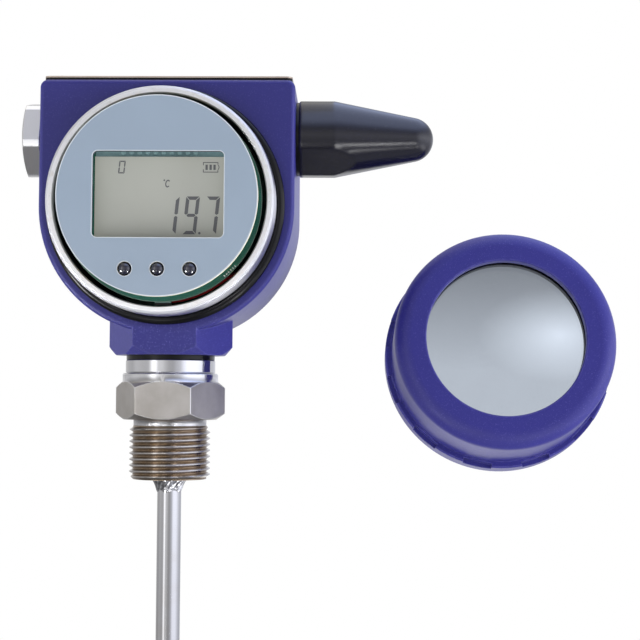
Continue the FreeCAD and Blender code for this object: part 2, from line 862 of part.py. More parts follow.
def make_face():
    """Printed film on a stiff plate that four sunk screws hold to its spacers."""
    film = new_body("face_overlay")
    sketch = new_sketch(film, level="face_front")
    draw_face(sketch)
    pad(film, sketch, "overlay_thickness")
    place(film, DRUM, "front")
    plate = new_body("face_plate")
    sketch = new_sketch(plate, level="face_back")
    draw_face(sketch)
    for x, y in pillar_places():
        draw_circle(sketch, x, y, "screw_diameter + 2 * slip")
    pad(plate, sketch, "face_thickness")
    sketch = new_sketch(plate, level="face_front")
    for x, y in pillar_places():
        draw_circle(sketch, x, y, "screw_head_diameter + 2 * slip")
    pocket(plate, sketch, "screw_head + slip")
    place(plate, DRUM, "front")
    screws, spacers = [], []
    head_seat = "face_front - screw_head - slip"
    for x, rise in pillar_places():
        z = f"drum_height + {rise}"
        head = cylinder("head", "screw_head_diameter", "screw_head", (x, f"-({head_seat})", z), "front")
        shank_foot = f"{head_seat} - screw_length"
        shank = cylinder("shank", "screw_diameter", "screw_length", (x, f"-({shank_foot})", z), "front")
        screws.append(combine("Fuse", "screw", head, shank))
        outside = cylinder("outside", "spacer_diameter", "spacer_length", (x, "-(board_front)", z), "front")
        bore = "screw_diameter + 2 * slip"
        inside = cylinder("inside", bore, "spacer_length", (x, "-(board_front)", z), "front")
        spacers.append(combine("Cut", "spacer", outside, inside))
    return [film, plate, group("face_screws", screws), group("plate_spacers", spacers)]


def round_board(label, gap, back):
    """A round circuit board that clears the bore by a gap."""
    body = new_body(label)
    sketch = new_sketch(body, level=back)
    draw_circle(sketch, "0", "0", f"collar_bore - 2 * {gap}")
    pad(body, sketch, "board_thickness")
    return place(body, DRUM, "front")


def make_display():
    """Two-sheet liquid crystal panel on its board, and the main board behind it."""
    body = new_body("lcd_panel")
    bottom = "lcd_rise - lcd_height / 2"
    sides = ("lcd_shift - lcd_width / 2", "lcd_shift + lcd_width / 2")
    sheets = (("board_front", "lcd_height"), ("board_front + lcd_sheet", "lcd_height - lcd_ledge"))
    for level, height in sheets:
        top = f"{bottom} + {height}"
        sketch = new_sketch(body, level=level)
        draw_outline(sketch, [(sides[0], bottom), (sides[1], bottom), (sides[1], top), (sides[0], top)])
        pad(body, sketch, "lcd_sheet")
    place(body, DRUM, "front")
    display_board = round_board("display_board", "board_gap", "board_back")
    return [body, display_board, round_board("main_board", "main_board_gap", "main_back")]


def make_buttons():
    """Three domed push-buttons, each in the well of its switch."""
    switches, buttons = [], []
    switch_front = "board_front + switch_height"
    well_floor = f"{switch_front} - switch_well"
    foot = f"{well_floor} + button_travel + slip"
    z = "drum_height - button_drop"
    radius = "button_diameter / 2"
    top = "overlay_front + button_rise"
    for name, x in zip(("left", "middle", "right"), button_places()):
        case = box(
            "case",
            (f"{x} - switch_width / 2", f"{x} + switch_width / 2"),
            ("board_front", switch_front),
            (f"{z} - switch_width / 2", f"{z} + switch_width / 2"),
        )
        hole = "button_diameter + 2 * button_slip"
        well = cylinder("well", hole, "switch_well", (x, f"-({well_floor})", z), "front")
        switches.append(combine("Cut", "switch", case, well))
        buttons.append(turned("button_" + name, [
            ("0", foot),
            (radius, foot),
            (radius, f"{top} - button_edge"),
            (f"{radius} - button_edge", top, "button_edge", "ccw"),
            ("0", top),
        ], (x, "0", z), "front"))
    return [group("key_switches", switches)] + buttons


def make_pillars():
    """Hexagon pillars that carry the display board and the main board."""
    nodes = []
    stretches = (("board_pillars", "main_front", "board_back"), ("rear_pillars", "cavity_back", "main_back"))
    for label, back, front in stretches:
        posts = []
        for x, rise in pillar_places():
            post = doc.addObject("Part::Prism", "post")
            post.Polygon = 6
            bind(post, "Circumradius", "pillar_flats / sqrt(3)")
            bind(post, "Height", f"({front}) - ({back})")
            posts.append(place(post, (x, f"-({back})", f"drum_height + {rise}"), "front"))
        nodes.append(group(label, posts))
    return nodes


def make_electronics():
    """What the boards carry: connector, terminals, radio, holder and cell."""
    edge = "drum_height - bore_radius + board_gap - connector_overhang"
    connector = box(
        "lead_connector",
        ("connector_side - connector_width / 2", "connector_side + connector_width / 2"),
        ("board_back - connector_depth", "board_back"),
        (edge, f"{edge} + connector_height"),
    )
    block = box(
        "block",
        ("-terminal_width / 2", "terminal_width / 2"),
        ("main_front", "main_front + terminal_depth"),
        ("terminal_bottom", "terminal_bottom + terminal_height"),
    )
    sinks = []
    sink_floor = "main_front + terminal_depth / 2"
    for step in ("-1", "0", "1"):
        spot = (f"{step} * terminal_pitch", f"-({sink_floor})", "terminal_bottom + terminal_height / 2")
        sinks.append(cylinder("sink", "terminal_screw", "terminal_depth", spot, "front"))
    terminals = combine("Cut", "terminal_block", block, group("sinks", sinks))
    sides = ("radio_side - radio_width / 2", "radio_side + radio_width / 2")
    low, high = "drum_height + radio_top - radio_height", "drum_height + radio_top"
    carrier = box("carrier", sides, ("main_front", "main_front + radio_plate"), (low, high))
    can = box(
        "can",
        (f"{sides[0]} + radio_margin", f"{sides[1]} - radio_margin"),
        ("main_front + radio_plate", "main_front + radio_thickness"),
        (f"{low} + radio_margin", f"{high} - radio_margin"),
    )
    radio = combine("Fuse", "radio_module", carrier, can)
    middle = "drum_height + battery_rise"
    tray = box(
        "tray",
        ("-holder_length / 2", "holder_length / 2"),
        ("battery_ahead", "main_back"),
        (f"{middle} - holder_height / 2", f"{middle} + holder_height / 2"),
    )
    start = ("-battery_length / 2 - end_slip", "-(battery_ahead)", middle)
    width, length = "battery_diameter + 2 * slip", "battery_length + 2 * end_slip"
    trough = cylinder("trough", width, length, start, "right")
    holder = combine("Cut", "battery_holder", tray, trough)
    cell_start = ("-battery_length / 2", "-(battery_ahead)", middle)
    cell = cylinder("battery", "battery_diameter", "battery_length", cell_start, "right")
    return [connector, terminals, radio, holder, cell]


def quarter_bend(corner, arrive, leave, radius):
    """The arc that takes a run heading along arrive to one heading along leave."""
    start, end = corner - arrive * radius, corner + leave * radius
    middle = corner + (leave - arrive) * radius * (1 - math.sqrt(0.5))
    return start, end, Part.Arc(start, middle, end).toShape()


def make_antenna_cable():
    """Coax from the stud down to the radio module."""
    radius = number("cable_bend")
    start = FreeCAD.Vector(number("half_width - stud_reach"), 0, number("port_height"))
    first = FreeCAD.Vector(number("radio_side"), 0, start.z)
    second = FreeCAD.Vector(first.x, 0, number("drum_height + radio_top") - number("radio_height") / 2)
    end = FreeCAD.Vector(second.x, -number("main_front + radio_thickness"), second.z)
    begin_down, leave_down, bend_down = quarter_bend(first, -X_AXIS, -Z_AXIS, radius)
    begin_in, leave_in, bend_in = quarter_bend(second, -Z_AXIS, Y_AXIS, radius)
    return tube("antenna_cable", [
        Part.LineSegment(start, begin_down).toShape(),
        bend_down,
        Part.LineSegment(leave_down, begin_in).toShape(),
        bend_in,
        Part.LineSegment(leave_in, end).toShape(),
    ], "cable_diameter")


def make_battery_lead():
    """Red lead that follows the bore from the connector, then goes back to the main board."""
    orbit, bend = number("bore_radius - lead_gap"), number("lead_bend")
    ahead = number("board_back - connector_depth / 2")
    centre = FreeCAD.Vector(0, -ahead, number("drum_height"))

    def on_orbit(degrees):
        angle = math.radians(degrees)
        return centre + FreeCAD.Vector(orbit * math.sin(angle), 0, -orbit * math.cos(angle))

    first = math.degrees(math.asin(number("connector_side + connector_width / 2 + slip") / orbit))
    last = number("lead_end_angle")
    run = Part.Arc(on_orbit(first), on_orbit((first + last) / 2), on_orbit(last)).toShape()
    angle = math.radians(last)
    heading = FreeCAD.Vector(math.cos(angle), 0, math.sin(angle))
    corner = on_orbit(last) + heading * bend
    begin, leave, turn_back = quarter_bend(corner, heading, Y_AXIS, bend)
    end = FreeCAD.Vector(leave.x, -number("main_front"), leave.z)
    return tube("battery_lead", [run, turn_back, Part.LineSegment(leave, end).toShape()], "lead_diameter")


# Cap


def place_cap(item):
    """Lay a cap piece beside the head, tilted back."""
    place(item, ("cap_place_x", "cap_place_y", "cap_place_z"), "front")
    bind(item, "Placement.Rotation.Angle", "90 - cap_tilt")
    return item


def make_cap():
    """Screwed cap with gripping lugs, a glass on a gasket and the ring that holds it."""
    body = new_body("cap_shell")
    sketch = new_sketch(body, "XZ_Plane")
    flange, shoulder = "cap_flange_radius", "cap_root_radius - cap_draft"
    chamfer, window = "cap_rim_chamfer", "cap_window_radius"
    mouth = "cap_thread_radius + cap_mouth_chamfer"
    seat, bore = "cap_seat_radius", "cap_bore_radius"
    draw_outline(sketch, [
        (mouth, "0"),
        (f"{flange} - {chamfer}", "0"),
        (flange, chamfer),
        (flange, f"cap_flange_height - {chamfer}"),
        (f"{flange} - {chamfer}", "cap_flange_height"),
        ("cap_root_radius", "cap_flange_height"),
        (shoulder, "cap_height - cap_face_radius"),
        (f"{shoulder} - cap_face_radius", "cap_height", "cap_face_radius", "ccw"),
        (f"{window} + cap_window_chamfer", "cap_height"),
        (window, "cap_height - cap_window_chamfer"),
        (window, "cap_seat_top"),
        (seat, "cap_seat_top"),
        (seat, "cap_seat_bottom"),
        (bore, "cap_seat_bottom"),
        (bore, "cap_thread_length + cap_mouth_chamfer"),
        ("cap_thread_radius", "cap_thread_length"),
        ("cap_thread_radius", "cap_mouth_chamfer"),
    ])
    revolve(body, sketch)
    sketch = new_sketch(body, level="cap_rim_height")
    bind(sketch, "AttachmentOffset.Rotation.Angle", "cap_notch_turn")
    floor = f"{flange} - cap_notch_depth"
    draw_outline(sketch, [
        (floor, "-cap_notch_width / 2"),
        (f"{flange} + end_slip", "-cap_notch_width / 2"),
        (f"{flange} + end_slip", "cap_notch_width / 2"),
        (floor, "cap_notch_width / 2"),
    ])
    notch = pocket(body, sketch, "cap_flange_height - cap_rim_height + end_slip", along=True)
    pattern = body.newObject("PartDesign::PolarPattern", "cap_lug_pattern")
    pattern.Originals = [notch]
    pattern.Axis = (sketch, ["N_Axis"])
    pattern.Angle = 360
    bind(pattern, "Occurrences", "cap_lugs")
    body.Tip = pattern
    opening, glass_diameter = "2 * cap_window_radius + end_slip", "2 * cap_seat_radius - 4 * slip"
    gasket = ring("cap_glass_gasket", opening, glass_diameter, "cap_glass_top", "cap_seat_top")
    glass = turned("cap_glass", [
        ("0", "cap_glass_bottom"),
        (f"({glass_diameter}) / 2", "cap_glass_bottom"),
        (f"({glass_diameter}) / 2", "cap_glass_top"),
        ("0", "cap_glass_top"),
    ])
    keeper = ring("cap_retaining_ring", opening, glass_diameter, "cap_seat_bottom", "cap_glass_bottom")
    return [place_cap(item) for item in (body, gasket, glass, keeper)]


def check(nodes):
    """Stop unless every object is sound and every piece is a valid solid."""
    for item in doc.Objects:
        if "Invalid" in item.State or "Error" in item.State:
            raise RuntimeError(f"{item.Label} failed: {item.State}")
    for item in nodes:
        if item.Shape.isNull() or not item.Shape.isValid() or not item.Shape.Solids:
            raise RuntimeError(f"{item.Label} isn't a valid solid")


pieces = [make_housing(), make_o_ring(), *make_name_plate(), *make_entry_plug(), *make_antenna()]
pieces += [*make_neck(), make_fitting(), *make_probe()]
pieces += [*make_face(), *make_display(), *make_buttons(), *make_pillars(), *make_electronics()]
pieces += [make_antenna_cable(), make_battery_lead(), *make_cap()]
doc.recompute()
check(pieces)
os.makedirs("parts", exist_ok=True)
for piece in pieces:
    piece.Shape.exportStep(f"parts/{piece.Label}.step")
    print(f"{piece.Label}: {len(piece.Shape.Solids)} solid, {piece.Shape.Volume / 1000:.2f} cm3")
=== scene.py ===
"""Looks of a wireless temperature sensor: finishes, threads, display marks and studio."""
from math import cos, hypot, pi, radians, sin, tan, tau

import bmesh
import bpy
from bpy.props import FloatProperty, FloatVectorProperty, IntProperty, PointerProperty
from bpy.types import Operator, Panel, PropertyGroup
from mathutils import Matrix, Vector


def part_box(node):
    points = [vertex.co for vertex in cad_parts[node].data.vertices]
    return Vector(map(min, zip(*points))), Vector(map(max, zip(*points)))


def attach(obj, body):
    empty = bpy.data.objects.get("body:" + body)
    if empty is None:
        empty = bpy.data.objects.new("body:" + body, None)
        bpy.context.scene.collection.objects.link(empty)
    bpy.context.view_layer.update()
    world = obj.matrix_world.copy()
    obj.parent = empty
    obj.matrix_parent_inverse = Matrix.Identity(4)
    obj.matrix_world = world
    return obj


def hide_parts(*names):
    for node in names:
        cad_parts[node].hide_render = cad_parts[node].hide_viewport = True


bl_info = {
    "name": "Wireless Temperature Sensor",
    "version": (1, 0, 0),
    "blender": (4, 5, 0),
    "location": "3D View > Sidebar > Sensor",
    "description": "Finishes, threads, display marks and studio of a probe transmitter",
    "category": "Object",
}

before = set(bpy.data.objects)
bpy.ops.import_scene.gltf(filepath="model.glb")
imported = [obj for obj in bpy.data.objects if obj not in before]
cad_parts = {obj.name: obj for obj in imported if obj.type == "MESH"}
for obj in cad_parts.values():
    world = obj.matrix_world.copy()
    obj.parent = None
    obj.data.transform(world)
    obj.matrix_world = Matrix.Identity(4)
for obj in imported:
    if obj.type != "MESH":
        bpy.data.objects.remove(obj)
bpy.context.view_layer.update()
BODY = "sensor"
MM = 0.001

# Places and sizes on the solids, in millimetres
DRUM_HEIGHT = 69.9
HEAD_FACE = -18.0
COLLAR_FRONT = -34.7
COLLAR_RADIUS = 36.25
BORE_RADIUS = 33.8
CAVITY_RADIUS, CAVITY_BACK = 35.2, 30.5
BOSS_TOP = 38.0
PLUG_HEIGHT, PLUG_CORNER = 94.25, 13.25
FILM_RADIUS, FILM_HEIGHT = 31.5, 70.25
WINDOW_PLACE, WINDOW_HALF, WINDOW_CORNER = (0.4, 70.6), (20.5, 13.5), 1.6
BUTTON_PLACES, BUTTON_HEIGHT, BUTTON_HOLE = (-9.7, 0.4, 10.5), 47.3, 2.25
LCD_FACE, LCD_LEDGE = -35.3, 83.19
BOARD_RADIUS = 32.3
CONNECTOR_END = 37.3
HEXAGON_TOP = 12.5
THREAD_RADIUS, THREAD_TOP = 13.5, -2.23
TUBE_RADIUS = 4.0
CAP_PLACE = Vector((113.83, 44.5, 21.2))
CAP_TILT = radians(11.6)
CAP_BORE, CAP_INSIDE = 36.55, 33.7


def linear(red, green, blue):
    """Scene-linear colour of an 8-bit display colour."""
    steps = [value / 255 for value in (red, green, blue)]
    return tuple(((s + 0.055) / 1.055) ** 2.4 if s > 0.04 else s / 12.92 for s in steps)


def shade(colour, factor):
    """The same colour, lighter or darker."""
    return tuple(min(1.0, part * factor) for part in colour[:3])


def paint_swatch(title, note, default):
    """A colour that a user may change."""
    return FloatVectorProperty(
        name=title, description=note, subtype="COLOR", min=0, max=1, default=default
    )


def length(title, note, default):
    """A length in metres that a user may change."""
    return FloatProperty(name=title, description=note, unit="LENGTH", precision=5, default=default)


class SensorSizes(PropertyGroup):
    """Sizes of what is added to the solids."""

    thread_pitch: length("Thread Pitch", "Rise of one turn of the process thread", 0.002)
    thread_depth: length("Thread Depth", "From the crest to the root of the process thread", 0.0012)
    cap_pitch: length("Cap Thread Pitch", "Rise of one turn inside the cap", 0.002)
    cap_depth: length("Cap Thread Depth", "From the bore of the cap to its thread's crest", 0.0007)
    collar_depth: length("Collar Thread Depth", "How far the collar's thread stands proud", 0.00025)
    thread_steps: IntProperty(
        name="Thread Steps", description="Facets in one turn of a thread", default=120
    )
    digit_height: length("Digit Height", "Height of the large figures", 0.01195)
    digit_width: length("Digit Width", "Width of the large figures", 0.00432)
    digit_stroke: length("Digit Stroke", "Width of a bar of the large figures", 0.00108)
    digit_pitch: length("Digit Pitch", "From one large figure to the next", 0.00637)
    digit_slant: FloatProperty(
        name="Digit Slant", description="Lean of the figures", subtype="ANGLE", default=radians(6)
    )
    button_dome: length("Button Dome", "Height of a push-button's rounded end", 0.001)
    mark_thickness: length("Mark Thickness", "Thickness of the display's marks", 0.00003)
    pin_pitch: length("Pin Pitch", "From one display pin to the next", 0.00254)
    pin_count: IntProperty(
        name="Pin Count", description="Pins along the display's upper edge", default=10
    )


class SensorColours(PropertyGroup):
    """Colours of the finishes."""

    coat: paint_swatch("Coat", "Powder coat of head and cap", linear(44, 43, 118))
    bare: paint_swatch("Bare Casting", "Machined collar of the head", linear(231, 231, 235))
    steel: paint_swatch("Steel", "Neck, fitting, plug and probe", linear(208, 208, 212))
    film: paint_swatch("Film", "Front film over the display", linear(147, 163, 182))
    lcd: paint_swatch("Display", "Liquid-crystal panel", linear(179, 181, 174))
    marks: paint_swatch("Marks", "Figures on the display", linear(92, 93, 97))
    radome: paint_swatch("Radome", "Moulded antenna cover", linear(8, 8, 26))
    rubber: paint_swatch("Rubber", "Seals", linear(9, 9, 13))
    board: paint_swatch("Board", "Solder mask of the circuit boards", linear(22, 98, 82))
    buttons: paint_swatch("Buttons", "Push-buttons", linear(16, 16, 40))
    glass: paint_swatch("Glass", "Window of the cap", linear(206, 214, 222))


class SensorStudio(PropertyGroup):
    """Lamps, floor and view."""

    key_power: FloatProperty(name="Key", description="Lamp at the front", unit="POWER", default=0.4)
    fill_power: FloatProperty(name="Fill", description="Lamps at the sides", unit="POWER", default=6.0)
    sky: FloatProperty(name="Sky", description="Light from all round", default=0.22, min=0)
    floor: length("Floor", "Height of the floor", -0.1515)
    lens: FloatProperty(name="Lens", description="Focal length in millimetres", default=81.5625)
    place: FloatVectorProperty(
        name="Camera", description="Place of the camera", subtype="TRANSLATION", unit="LENGTH",
        default=(0.05949, -0.48774, 0.00988),
    )
    turn: FloatVectorProperty(
        name="Aim", description="Pitch, roll and yaw of the view", subtype="EULER", unit="ROTATION",
        default=(radians(2.80), radians(0.37), radians(-1.09)),
    )


def joined(operation):
    """Two methods of Field that join it and another value in a Math node: plain and reflected."""
    def plain(self, other):
        return self.maths(operation, self, other)

    def reflected(self, other):
        return self.maths(operation, other, self)

    return plain, reflected


class Field:
    """A node socket that takes part in Python expressions."""

    def __init__(self, graph, socket):
        self.graph = graph
        self.socket = socket

    def maths(self, operation, *values):
        """A Math node on these values."""
        return self.graph.node("ShaderNodeMath", {"operation": operation}, dict(enumerate(values)))

    __add__, __radd__ = joined("ADD")
    __sub__, __rsub__ = joined("SUBTRACT")
    __mul__, __rmul__ = joined("MULTIPLY")
    __truediv__, __rtruediv__ = joined("DIVIDE")
    __mod__, __rmod__ = joined("FLOORED_MODULO")
    __pow__, __rpow__ = joined("POWER")
    __lt__, __gt__ = joined("LESS_THAN")
    least, most = joined("MINIMUM")[0], joined("MAXIMUM")[0]

    def __abs__(self):
        return self.maths("ABSOLUTE", self)

    def floor(self):
        return self.maths("FLOOR", self)

    def between(self, low, high):
        """0 up to low, 1 from high on, and a smooth step between them."""
        ends = {"Value": self, "From Min": low, "From Max": high}
        return self.graph.node("ShaderNodeMapRange", {"interpolation_type": "SMOOTHSTEP"}, ends)


class Graph:
    """Adds nodes to one tree."""

    def __init__(self, tree):
        self.tree = tree

    def node(self, kind, settings=None, sockets=None, output=0):
        """Make a node, set it up, then set or link its sockets."""
        made = self.tree.nodes.new(kind)
        for name, value in (settings or {}).items():
            setattr(made, name, value)
        for name, value in (sockets or {}).items():
            self.feed(made.inputs[name], value)
        return Field(self, made.outputs[output])

    def feed(self, socket, value):
        """Link a field to a socket, or set its value."""
        if isinstance(value, Field):
            self.tree.links.new(value.socket, socket)
        else:
            socket.default_value = (*value[:3], 1.0) if socket.type == "RGBA" else value

    def parts(self, vector):
        """The three parts of a vector."""
        first = self.node("ShaderNodeSeparateXYZ", sockets={0: vector})
        return [Field(self, socket) for socket in first.socket.node.outputs]

    def vector(self, x, y, z):
        """A vector from its three parts."""
        return self.node("ShaderNodeCombineXYZ", sockets={0: x, 1: y, 2: z})

    def mix(self, factor, first, second):
        """Blend of two colours."""
        return self.node("ShaderNodeMix", {"data_type": "RGBA"}, {0: factor, 6: first, 7: second}, 2)

    def tones(self, factor, colour, low, high):
        """Blend of two shades of a colour."""
        return self.mix(factor, shade(colour, low), shade(colour, high))


class Finish(Graph):
    """A procedural material on object coordinates in millimetres."""

    def __init__(self, name, **constants):
        self.material = bpy.data.materials.new(name)
        self.material.use_nodes = True
        super().__init__(self.material.node_tree)
        self.shader = self.tree.nodes["Principled BSDF"]
        for socket, value in constants.items():
            self.shader.inputs[socket.replace("_", " ")].default_value = value
        coordinates = self.node("ShaderNodeTexCoord", output="Object")
        self.point = self.node(
            "ShaderNodeVectorMath", {"operation": "SCALE"}, {0: coordinates, "Scale": 1 / MM}
        )
        self.x, self.y, self.z = self.parts(self.point)

    def noise(self, scale, detail=2.0, vector=None):
        """Even noise from 0 to 1; scale is in waves per millimetre."""
        sockets = {"Vector": vector or self.point, "Scale": scale, "Detail": detail, "Roughness": 0.55}
        return self.node("ShaderNodeTexNoise", sockets=sockets)

    def streaks(self, scale, along):
        """Noise that changes only with one measure, such as turning marks."""
        return self.noise(scale, 3.0, self.vector(along, 0.0, 0.0))

    def radius(self, first, second, first_centre=0.0, second_centre=0.0):
        """Distance from an axis."""
        return ((first - first_centre) ** 2 + (second - second_centre) ** 2) ** 0.5

    def wear(self, colour, roughness=None, metallic=None):
        """Set the colour, and feed what else changes over the surface."""
        fed = {"Base Color": colour, "Roughness": roughness, "Metallic": metallic}
        for socket, value in fed.items():
            if value is not None:
                self.feed(self.shader.inputs[socket], value)

    def eased(self, radius):
        """Normal with its sharp edges rounded; radius is in millimetres."""
        return self.node("ShaderNodeBevel", {"samples": 6}, {"Radius": radius * MM})

    def edges(self, radius):
        """1 along sharp edges, 0 away from them."""
        facing = self.node("ShaderNodeNewGeometry", output="Normal")
        both = {0: self.eased(radius), 1: facing}
        alike = self.node("ShaderNodeVectorMath", {"operation": "DOT_PRODUCT"}, both, "Value")
        return (1 - alike).between(0.003, 0.07)

    def relief(self, height, depth, strength=1.0, easing=0.0):
        """Give the finish small relief over eased edges, in millimetres, and hand out the material."""
        sockets = {"Strength": strength, "Distance": depth * MM, "Height": height}
        if easing:
            sockets["Normal"] = self.eased(easing)
        self.feed(self.shader.inputs["Normal"], self.node("ShaderNodeBump", sockets=sockets))
        return self.material

    def glow(self, colour):
        """Feed the light that the surface gives off."""
        self.feed(self.shader.inputs["Emission Color"], colour)


def powder_coat(f, colour, rough_cast):
    """Colour, unevenness and relief of a sprayed coat: pale along edges, partly rubbed paint and partly
    a painted highlight, and speckled on a rough casting.
    """
    peel, grain, cloud = f.noise(0.7), f.noise(4.5), f.noise(0.05, 3.0)
    specks = f.noise(3.2, 1.0).between(0.62, 0.72) * rough_cast
    edge_wear_and_highlight = f.edges(0.6) * f.noise(0.5, 3.0).between(0.30, 0.62)
    coat = f.tones(cloud, colour, 0.90, 1.10)
    # Pale specks of the casting, and pale edges that are partly rubbed paint and partly a painted
    # highlight.
    coat = f.mix(specks.most(edge_wear_and_highlight * 0.6), coat, linear(96, 94, 168))
    return coat, peel, peel * 0.7 + grain * 0.3


def coated_head(colours):
    """Blue powder coat, with the collar and the bore left bare, and shade painted in the bore and on the
    collar's rim.
    """
    f = Finish("head_coat", IOR=1.42)
    boss = 1 - f.z.between(BOSS_TOP - 8.0, BOSS_TOP)
    coat, peel, skin = powder_coat(f, colours.coat, 0.25 + 0.45 * boss)
    drum = f.radius(f.x, f.z, 0.0, DRUM_HEIGHT)
    inside = (drum < CAVITY_RADIUS) * (f.y < CAVITY_BACK)
    bare_part = (f.y < HEAD_FACE - 0.35).most(inside)
    turning = f.streaks(7.0, drum + f.y)
    stains = f.noise(0.28, 4.0).between(0.55, 0.78)
    pits = f.noise(1.6, 3.0).between(0.70, 0.76)
    # Masks for painted shade: the collar's chamfer and outer side are greyed, the bore is greyed at its
    # mouth and darkened deeper in. The outer side is also made more metallic.
    chamfer_shade = drum.between(COLLAR_RADIUS - 0.90, COLLAR_RADIUS - 0.70)
    outer = drum > COLLAR_RADIUS - 0.15
    mouth_shade = 1 - drum.between(BORE_RADIUS + 0.25, BORE_RADIUS + 0.40)
    bore = (drum < BORE_RADIUS + 0.1) * f.y.between(COLLAR_FRONT + 0.9, COLLAR_FRONT + 3.2)
    bare = f.tones(turning, colours.bare, 0.94, 1.05)
    # Stains and pits are the metal's own; the chamfer, outer, mouth and bore tints are painted shade.
    for share, tint in (
        (stains * 0.25, linear(176, 162, 140)), (pits * 0.6, linear(96, 92, 92)),
        (chamfer_shade * 0.45, linear(140, 144, 158)), (outer * 0.5, linear(190, 193, 204)),
        (mouth_shade * 0.7, linear(96, 98, 100)), (bore, linear(30, 48, 46)),
    ):
        bare = f.mix(share, bare, tint)
    f.wear(
        f.mix(bare_part, coat, bare),
        0.33 + 0.10 * peel + bare_part * (0.10 * turning + 0.03),
        bare_part * (0.45 + 0.35 * outer),
    )
    return f.relief(skin * (1 - bare_part) + bare_part * turning * 0.35, 0.03, 0.45, 0.35)


def coated_cap(colours):
    """The same coat on the cap, with its threaded inside left bare."""
    f = Finish("cap_coat", IOR=1.42)
    tone = tuple(c * s for c, s in zip(colours.coat, (1.05, 1.02, 1.15)))
    coat, peel, skin = powder_coat(f, tone, 0.5)
    place = f.node(
        "ShaderNodeMapping",
        {"vector_type": "TEXTURE"},
        {"Vector": f.point, "Location": CAP_PLACE, "Rotation": (-CAP_TILT, 0.0, 0.0)},
    )
    across, depth, rise = f.parts(place)
    bore = f.radius(across, rise)
    inside = (bore < CAP_BORE + 0.4) * (depth > -CAP_INSIDE)
    turning = f.streaks(6.0, bore + depth)
    bare = f.tones(turning, colours.bare, 0.55, 0.75)
    f.wear(f.mix(inside, coat, bare), 0.33 + 0.10 * peel, inside * 0.85)
    return f.relief(skin * (1 - inside) + inside * turning * 0.35, 0.03, 0.55, 0.35)


def turned_metal(
    name, colour, roughness, axis="Z", centre=(0.0, 0.0), tint=0.0, milled=None, easing=0.0, rim=0.0
):
    """Metal with fine turning marks round an axis and faint smudges.

    Between the two heights of milled its flats are satin, past the radius rim a near-white painted
    highlight is laid, and easing rounds its edges and lightens them, partly as scuffs and partly as a
    painted highlight.
    """
    f = Finish(name, Metallic=1.0)
    measures = {"X": (f.x, f.y, f.z), "Y": (f.y, f.x, f.z), "Z": (f.z, f.x, f.y)}
    along, first, second = measures[axis]
    around = f.radius(first, second, *centre)
    marks = f.streaks(5.0, along + around * 1.3)
    smudge = f.noise(0.12, 4.0)
    brown = tuple(c * s for c, s in zip(colour, (0.80, 0.74, 0.66)))
    base = f.tones(marks, colour, 0.90, 1.05)
    base = f.mix(smudge.between(0.45, 0.75) * (0.25 + tint), base, brown)
    gloss = roughness + 0.03 * marks + 0.03 * smudge
    if milled:
        satin = (along > milled[0]) * (along < milled[1])
        gloss = gloss + satin * (0.20 + 0.10 * smudge) + (along < milled[0]) * 0.10
        flats = f.mix(smudge.between(0.25, 0.75), linear(173, 168, 163), linear(191, 187, 184))
        base = f.mix(satin, base, flats)
    if rim:
        # Painted highlight: the turned corners past the rim are made near white.
        base = f.mix(around.between(rim - 0.1, rim), base, linear(252, 252, 254))
    if easing:
        # Edges are lightened and made glossier: partly scuffed metal, partly a painted highlight.
        edge = f.edges(easing)
        base = f.mix(edge * 0.85, base, linear(246, 246, 248))
        gloss = gloss * (1 - 0.6 * edge)
    f.wear(base, gloss)
    return f.relief(marks, 0.002, 0.4, easing)


def threaded_steel(colours):
    """Steel thread with a brown film left in its roots."""
    f = Finish("thread_steel", Metallic=1.0)
    around = f.radius(f.x, f.y)
    root = 1 - around.between(THREAD_RADIUS - 1.05, THREAD_RADIUS - 0.25)
    smudge = f.noise(0.35, 4.0)
    base = f.tones(smudge, colours.steel, 0.84, 1.05)
    base = f.mix(root * 0.50 + smudge * 0.36 + 0.10, base, linear(136, 110, 70))
    f.wear(base, 0.12 + 0.12 * smudge + root * 0.06)
    return f.relief(f.noise(3.0, 3.0), 0.02, 0.35)


def moulded(name, colour, roughness, grain=3.0, depth=0.01, sheen=0.10, **constants):
    """Moulded plastic or rubber with a fine grain and uneven gloss."""
    f = Finish(name, **constants)
    fine, cloud = f.noise(grain, 3.0), f.noise(grain / 20, 3.0)
    f.wear(f.tones(cloud, colour, 0.86, 1.14), roughness + sheen * fine)
    return f.relief(fine, depth, 0.6)


def radome_plastic(colours):
    """Dark moulding with flow lines along it and rubbed spots."""
    f = Finish("radome_plastic", IOR=1.58)
    fine = f.noise(2.6, 3.0)
    flow = f.noise(1.0, 4.0, f.vector(f.x * 0.09, f.y * 0.9, f.z * 0.9))
    specks = f.noise(2.2, 2.0).between(0.70, 0.78)
    base = f.tones(flow, colours.radome, 0.80, 1.20)
    base = f.mix(specks * 0.5, base, linear(120, 122, 130))
    f.wear(base, 0.10 + 0.10 * flow + 0.06 * fine)
    return f.relief(fine * 0.6 + flow * 0.4, 0.03, 0.45, 1.6)


def from_window(f):
    """How far a point lies beside and above or below the window's middle."""
    return abs(f.x - WINDOW_PLACE[0]), abs(f.z - WINDOW_PLACE[1])


